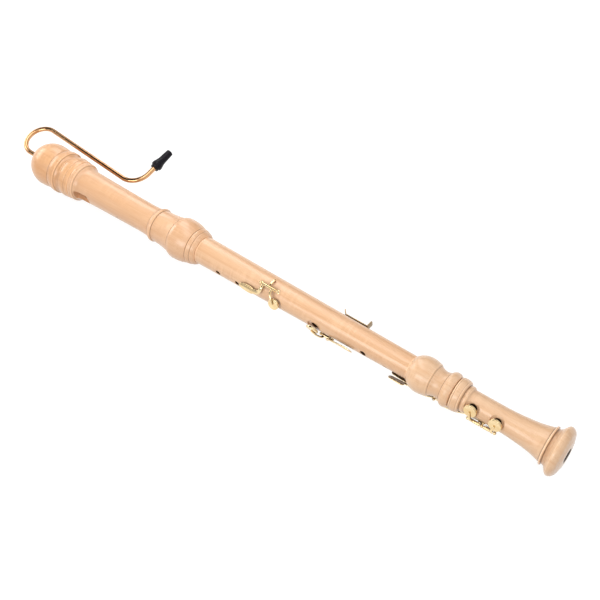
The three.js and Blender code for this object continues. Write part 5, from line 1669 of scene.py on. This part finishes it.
def make_thumb_rest():
    """A bent plate with both ends turned up, and the screw that holds it."""
    rest = THUMB_REST
    low, high = FOOT_END + rest["lower_end"], FOOT_END + rest["upper_end"]
    level = radius_at(MIDDLE_LINE, high) + GAP + rest["thickness"] / 2
    line = rounded_line([
        (-(low - rest["lower_lean"]), level + rest["lower_tab"]), (-low, level), (-high, level),
        (-(high + rest["upper_reach"]), level + rest["upper_tab"]),
    ], 1.0)
    path = np.stack([line[:, 0], np.zeros(len(line)), line[:, 1]], axis=1)
    path, sizes = rounded_ends(path, rest["end_reach"])
    width = 1 - rest["end_width"] * (1 - sizes)
    thickness = np.minimum(1, rest["end_thickness"] + sizes)
    across = placed([[0.0, 1.0, 0.0]], 0, BACK)[0] - ORIGIN
    path = placed(path, 0, BACK)
    up = np.cross(across, np.gradient(path, axis=0))
    section = bar_section(rest["width"], rest["thickness"], rest["edge"])
    plate = swept("plate", path, section, up, np.stack([width, thickness], axis=1))
    screw = FOOT_END + rest["screw_height"]
    hole = cylinder("screw_cut", rest["screw"] + GAP, level - OVERRUN, level + OVERRUN, screw, BACK)
    finished(carved(plate, hole), "thumb_rest", "worn_brass")
    make_thumb_screw(screw, level + rest["thickness"] / 2 + GAP)


def make_thumb_screw(station, seat):
    """A blunt screw with a domed and slotted head, whose seat lies at a distance from the axis."""
    rest = THUMB_REST
    low = radius_at(MIDDLE_LINE, station) - rest["screw_depth"]
    head, shank = rest["head"], rest["screw"]
    edge, top = seat + rest["head_edge"], seat + rest["head_height"]
    turn = np.linspace(0.1, math.pi / 2, 10)
    side = [
        (0, low), (rest["tip"], low), (shank, low + rest["tip_length"]), (shank, seat), (head, seat),
        (head, edge),
    ]
    line = np.vstack([side, np.stack([head * np.cos(turn), edge + (top - edge) * np.sin(turn)], axis=1)])
    body = stood("screw", line, station, BACK, POST_SIDES, corner=0.1)
    size = (2.4 * head, SLOT["width"], 2 * SLOT["depth"])
    slot = box_piece("slot_cut", size, (0, 0, top), station, BACK, SLOT["edge"])
    finished(carved(body, slot), "thumb_rest_screw", "worn_brass")


# Stage


def make_stage():
    """A pale floor, soft lamps and the camera at the photograph's angle."""
    stage = bpy.context.scene.recorder_stage
    half = stage.floor_size / 2 / MM
    ticks = np.linspace(-half, half, 5)
    x, y = np.meshgrid(ticks, ticks, indexing="ij")
    floor = grid_mesh("floor", np.stack([x, y, np.zeros_like(x)], axis=-1), wrap_columns=False)
    floor.data.materials.append(floor_look(stage))
    make_world(stage)
    make_lamps(stage)
    make_camera(stage)


def floor_look(stage):
    """Matt floor that takes the shadow and shows as near white to the camera and in reflections."""
    n = material("floor")
    mottle = n.spread(n.noise((3.0, 3.0, 3.0), detail=2.0), 0.3, 0.7, 0.0, 0.2)
    colour = n.mix(mottle, rgba(stage.floor_colour), rgba(stage.floor_colour, 0.97))
    n.finish(colour, 0.9, Specular_IOR_Level=0.1)
    ray = n.tree.nodes.new("ShaderNodeLightPath").outputs
    seen = n.math("ADD", ray["Is Camera Ray"], ray["Is Glossy Ray"], clamp=True)
    seen = n.math("ADD", seen, ray["Is Transmission Ray"], clamp=True)
    strength = n.math("MULTIPLY", seen, stage.floor_glow)
    glow = n.add("ShaderNodeEmission", {"Color": WHITE, "Strength": strength})
    matt = n.tree.nodes["Principled BSDF"].outputs[0]
    total = n.add("ShaderNodeAddShader", {0: matt, 1: glow})
    n.plug(total, n.tree.nodes["Material Output"].inputs["Surface"])
    return n.owner


def make_world(stage):
    """Studio air: brightest overhead, dimmer toward the horizon, a little brighter on the foot's side,
    and with black flags. Each is a smooth step of how well a direction agrees with its own. The camera
    sees plain white."""
    world = bpy.data.worlds.new("studio")
    bpy.context.scene.world = world
    n = Nodes(world)
    direction = n.add("ShaderNodeTexCoord")

    def step(toward, low, high, to_low, to_high):
        both = {0: direction, 1: Vector(toward).normalized()}
        agreement = n.add("ShaderNodeVectorMath", both, output=1, operation="DOT_PRODUCT")
        return n.spread(agreement, low, high, to_low, to_high)

    overhead = step((0.0, 0.0, 1.0), 0.0, 0.7, 0.0, 1.0)
    light = n.mix(overhead, rgba(stage.horizon), rgba(stage.zenith))
    changes = [step((1.0, 0.0, 0.0), -0.2, 0.9, 1.0, stage.foot_side)]
    changes += [
        step(flag, math.cos(wide), math.cos(wide * FLAG_CORE), 1.0, stage.flag_tone) for flag, wide in FLAGS
    ]
    for share in changes:
        light = n.add("ShaderNodeVectorMath", {0: light, "Scale": share}, operation="SCALE")
    air = n.tree.nodes["Background"]
    n.plug(light, air.inputs["Color"])
    n.plug(stage.air, air.inputs["Strength"])
    to_camera = n.add("ShaderNodeLightPath")
    white = n.add("ShaderNodeBackground", {"Color": WHITE})
    shown = n.add("ShaderNodeMixShader", {0: to_camera, 1: air.outputs[0], 2: white})
    n.plug(shown, n.tree.nodes["World Output"].inputs["Surface"])


def make_lamps(stage):
    """A long strip light from over the foot to behind the head, and two soft boxes. Each faces the
    instrument as squarely as its long side lets it."""
    for name, power, start, end, width in LAMPS:
        start, end = Vector(start), Vector(end)
        lamp = bpy.data.lights.new(name, "AREA")
        lamp.shape = "RECTANGLE"
        lamp.size, lamp.size_y = (end - start).length, width
        lamp.energy = getattr(stage, power)
        holder = bpy.data.objects.new(name, lamp)
        bpy.context.scene.collection.objects.link(holder)
        along = (end - start).normalized()
        away = ((start + end) / 2 - Vector(LAMP_TARGET)).normalized()
        away = (away - along * away.dot(along)).normalized()
        holder.location = (start + end) / 2
        holder.rotation_mode = "QUATERNION"
        holder.rotation_quaternion = Matrix((along, away.cross(along), away)).transposed().to_quaternion()


def make_camera(stage):
    """The photograph's view: azimuth, elevation, roll and distance from the point that it looks at."""
    camera = bpy.data.cameras.new("photograph_view")
    camera.lens = stage.lens
    camera.sensor_width = SENSOR
    holder = bpy.data.objects.new("photograph_view", camera)
    bpy.context.scene.collection.objects.link(holder)
    turn, lift = stage.azimuth, stage.elevation
    back = Vector((math.sin(turn) * math.cos(lift), -math.cos(turn) * math.cos(lift), math.sin(lift)))
    holder.location = Vector(stage.target) + back * stage.distance
    holder.rotation_mode = "QUATERNION"
    holder.rotation_quaternion = (-back).to_track_quat("-Z", "Y") @ Quaternion((0, 0, 1), stage.roll)
    bpy.context.scene.camera = holder
    bpy.context.scene.view_settings.view_transform = "Standard"


# Settings, operators and panel


def colour_property(name, description, default):
    """A setting that holds a colour."""
    return FloatVectorProperty(
        name=name, description=description, default=default, subtype="COLOR", size=3, min=0.0, max=1.0,
    )


def share_property(name, description, default):
    """A setting between nothing and all."""
    return FloatProperty(
        name=name, description=description, default=default, subtype="FACTOR", min=0.0, max=1.0,
    )


def power_property(name, description, default):
    """A setting that holds a lamp's power."""
    return FloatProperty(name=name, description=description, default=default, unit="POWER", min=0.0)


def angle_property(name, description, degrees):
    """A setting that holds an angle, its default given in degrees."""
    return FloatProperty(name=name, description=description, default=math.radians(degrees), subtype="ANGLE")


class RecorderFinishSettings(bpy.types.PropertyGroup):
    """Colours and polish of the instrument's materials."""

    wood_pale: colour_property("Pale wood", "Colour of maple between its grain lines", (0.79, 0.49, 0.283))
    wood_deep: colour_property("Deep wood", "Colour of the maple's grain lines", (0.655, 0.338, 0.165))
    wood_warm: colour_property("Warm wood", "Colour of the warm patches in the maple", (0.765, 0.41, 0.2))
    brass: colour_property("Key brass", "Colour of the keys under their lacquer", (0.83, 0.65, 0.38))
    worn_brass: colour_property("Worn brass", "Colour of the handled thumb rest", (0.3, 0.21, 0.12))
    brass_deep: colour_property("Deep brass", "Colour of the brass under thick lacquer", (0.72, 0.5, 0.24))
    pipe_brass: colour_property("Pipe brass", "Colour of the blowing pipe", (0.7, 0.4, 0.2))
    pipe_deep: colour_property("Deep pipe", "Colour of the pipe under thick lacquer", (0.55, 0.28, 0.12))
    steel: colour_property("Steel", "Colour of the rods and springs", (0.62, 0.63, 0.65))
    steel_deep: colour_property("Deep steel", "Colour of the steel's dull clouds", (0.4, 0.41, 0.44))
    cedar: colour_property("Cedar", "Colour of the block", (0.42, 0.17, 0.075))
    cedar_deep: colour_property("Deep cedar", "Colour of the block's growth lines", (0.23, 0.075, 0.03))
    cedar_pale: colour_property("Pale cedar", "Colour of the block's fibres", (0.52, 0.24, 0.12))
    plastic: colour_property("Plastic", "Colour of the mouthpiece", (0.006, 0.005, 0.008))
    plastic_scuffed: colour_property("Scuffs", "Colour of the mouthpiece's scuffs", (0.016, 0.013, 0.02))
    cork: colour_property("Cork", "Colour of the cork's granules", (0.5, 0.3, 0.15))
    cork_deep: colour_property("Deep cork", "Colour between the granules", (0.33, 0.18, 0.085))
    cork_pits: colour_property("Cork pits", "Colour of the cork's pits", (0.09, 0.045, 0.02))
    pad: colour_property("Pad", "Colour of the pads' skin", (0.78, 0.7, 0.56))
    pad_stained: colour_property("Stained pad", "Colour of the skin's stains", (0.66, 0.55, 0.4))
    pad_creased: colour_property("Creased pad", "Colour of the skin's creases", (0.5, 0.4, 0.28))
    felt: colour_property("Felt", "Colour of the felt", (0.16, 0.022, 0.018))
    felt_pale: colour_property("Pale felt", "Colour of the felt's loose fibres", (0.32, 0.06, 0.045))
    felt_worn: colour_property("Worn felt", "Colour of the felt's worn places", (0.1, 0.015, 0.013))
    key_roughness: share_property("Key roughness", "Roughness of the keys", 0.2)
    pipe_roughness: share_property("Pipe roughness", "Roughness of the pipe", 0.12)


class RecorderStageSettings(bpy.types.PropertyGroup):
    """Floor, light and camera."""

    floor_size: FloatProperty(
        name="Floor size", description="Side of the square floor", default=9.0, unit="LENGTH",
    )
    floor_colour: colour_property("Floor colour", "Colour of the floor", (0.3, 0.3, 0.3))
    floor_glow: FloatProperty(
        name="Floor glow", description="Light added where the floor is seen directly", default=0.82, min=0.0,
    )
    horizon: colour_property("Horizon", "Colour of the studio air at the horizon", (0.5, 0.49, 0.48))
    zenith: colour_property("Zenith", "Colour of the studio air overhead", (1.0, 1.0, 1.0))
    foot_side: FloatProperty(
        name="Foot side", description="Share of the air's light from the foot's side", default=1.25, min=0.0,
    )
    flag_tone: share_property("Flag tone", "Share of the air's light from a flag", 0.03)
    air: FloatProperty(name="Air", description="Strength of the studio air", default=0.9, min=0.0)
    strip_power: power_property("Strip light", "Power of the long strip light", 8.5)
    front_power: power_property("Front lamp", "Power of the front soft box", 15.0)
    head_power: power_property("Head lamp", "Power of the soft box at the head", 9.0)
    azimuth: angle_property("Azimuth", "Camera's turn from the finger side", 45.43)
    elevation: angle_property("Elevation", "Camera's height over the horizon", 56.27)
    roll: angle_property("Roll", "Camera's roll", -10.78)
    distance: FloatProperty(
        name="Distance", description="Camera to its target", default=1.4674, unit="LENGTH",
    )
    lens: FloatProperty(
        name="Lens", description="Focal length in millimetres", default=60.0, min=10.0, unit="CAMERA",
    )
    target: FloatVectorProperty(
        name="Target", description="Point that the camera looks at", default=(0.0788, -0.0365, 0.0363),
        subtype="XYZ", unit="LENGTH",
    )


class RECORDER_OT_joints(bpy.types.Operator):
    """Turn the foot, middle, head and cap, with their holes, seats, window and windway"""

    bl_idname = "recorder.joints"
    bl_label = "Wooden joints"

    def execute(self, context):
        make_foot()
        make_middle()
        make_head()
        make_cap()
        return {"FINISHED"}


class RECORDER_OT_block_and_corks(bpy.types.Operator):
    """Make the block in the head and the corks of the tenons and the pipe"""

    bl_idname = "recorder.block_and_corks"
    bl_label = "Block and corks"

    def execute(self, context):
        make_block()
        make_lapping("lower_tenon_cork", FOOT_END + GAP, MIDDLE["lower_tenon"], FOOT["socket"], -1)
        make_lapping("upper_tenon_cork", MIDDLE_END - GAP, MIDDLE["upper_tenon"], HEAD["socket"], 1)
        make_lapping("cap_tenon_cork", HEAD_END, HEAD["tenon"], CAP["socket"], 1)
        make_pipe_cork()
        return {"FINISHED"}


class RECORDER_OT_blowing_pipe(bpy.types.Operator):
    """Bend the blowing pipe and turn its mouthpiece"""

    bl_idname = "recorder.blowing_pipe"
    bl_label = "Blowing pipe"

    def execute(self, context):
        make_pipe()
        make_mouthpiece()
        return {"FINISHED"}


class RECORDER_OT_finger_keys(bpy.types.Operator):
    """Make the left-hand and right-hand keys with their posts, rods, pads, felts and springs"""

    bl_idname = "recorder.finger_keys"
    bl_label = "Finger keys"

    def execute(self, context):
        for key in (LEFT_KEY, RIGHT_KEY):
            make_finger_key(key)
        return {"FINISHED"}


class RECORDER_OT_foot_keys(bpy.types.Operator):
    """Make the two pad keys of the foot with their shared hinge"""

    bl_idname = "recorder.foot_keys"
    bl_label = "Foot keys"

    def execute(self, context):
        make_hinge(FOOT_KEY, 0, FOOT_LINE)
        for key, space in zip(FOOT_KEYS, key_spaces(FOOT_KEY, 0, FOOT_LINE)):
            make_foot_key(key, space)
        return {"FINISHED"}


class RECORDER_OT_foot_levers(bpy.types.Operator):
    """Make the two rocking levers of the foot with their posts and rod"""

    bl_idname = "recorder.foot_levers"
    bl_label = "Foot levers"

    def execute(self, context):
        make_lever_hinge()
        for spec in LEVERS:
            make_lever(spec)
        return {"FINISHED"}


class RECORDER_OT_thumb_rest(bpy.types.Operator):
    """Bend the thumb rest and make its screw"""

    bl_idname = "recorder.thumb_rest"
    bl_label = "Thumb rest"

    def execute(self, context):
        make_thumb_rest()
        return {"FINISHED"}


class RECORDER_OT_stage(bpy.types.Operator):
    """Set the floor, the lamps and the camera"""

    bl_idname = "recorder.stage"
    bl_label = "Stage"

    def execute(self, context):
        make_stage()
        return {"FINISHED"}


OPERATORS = (
    RECORDER_OT_joints,
    RECORDER_OT_block_and_corks,
    RECORDER_OT_blowing_pipe,
    RECORDER_OT_finger_keys,
    RECORDER_OT_foot_keys,
    RECORDER_OT_foot_levers,
    RECORDER_OT_thumb_rest,
    RECORDER_OT_stage,
)


class RECORDER_PT_panel(bpy.types.Panel):
    """The recorder's pieces and settings in the sidebar"""

    bl_idname = "RECORDER_PT_panel"
    bl_label = "Bass recorder"
    bl_space_type = "VIEW_3D"
    bl_region_type = "UI"
    bl_category = "Recorder"

    def draw(self, context):
        for operator in OPERATORS:
            self.layout.operator(operator.bl_idname)
        for settings in (context.scene.recorder_finish, context.scene.recorder_stage):
            column = self.layout.column()
            for name in settings.__annotations__:
                column.prop(settings, name)


CLASSES = (RecorderFinishSettings, RecorderStageSettings, *OPERATORS, RECORDER_PT_panel)


def register():
    for each in CLASSES:
        bpy.utils.register_class(each)
    bpy.types.Scene.recorder_finish = PointerProperty(type=RecorderFinishSettings)
    bpy.types.Scene.recorder_stage = PointerProperty(type=RecorderStageSettings)


def unregister():
    del bpy.types.Scene.recorder_stage
    del bpy.types.Scene.recorder_finish
    for each in reversed(CLASSES):
        bpy.utils.unregister_class(each)


def main():
    """Makes every piece and the stage."""
    register()
    for operator in OPERATORS:
        group, name = operator.bl_idname.split(".")
        getattr(getattr(bpy.ops, group), name)()


if __name__ == "__main__":
    main()
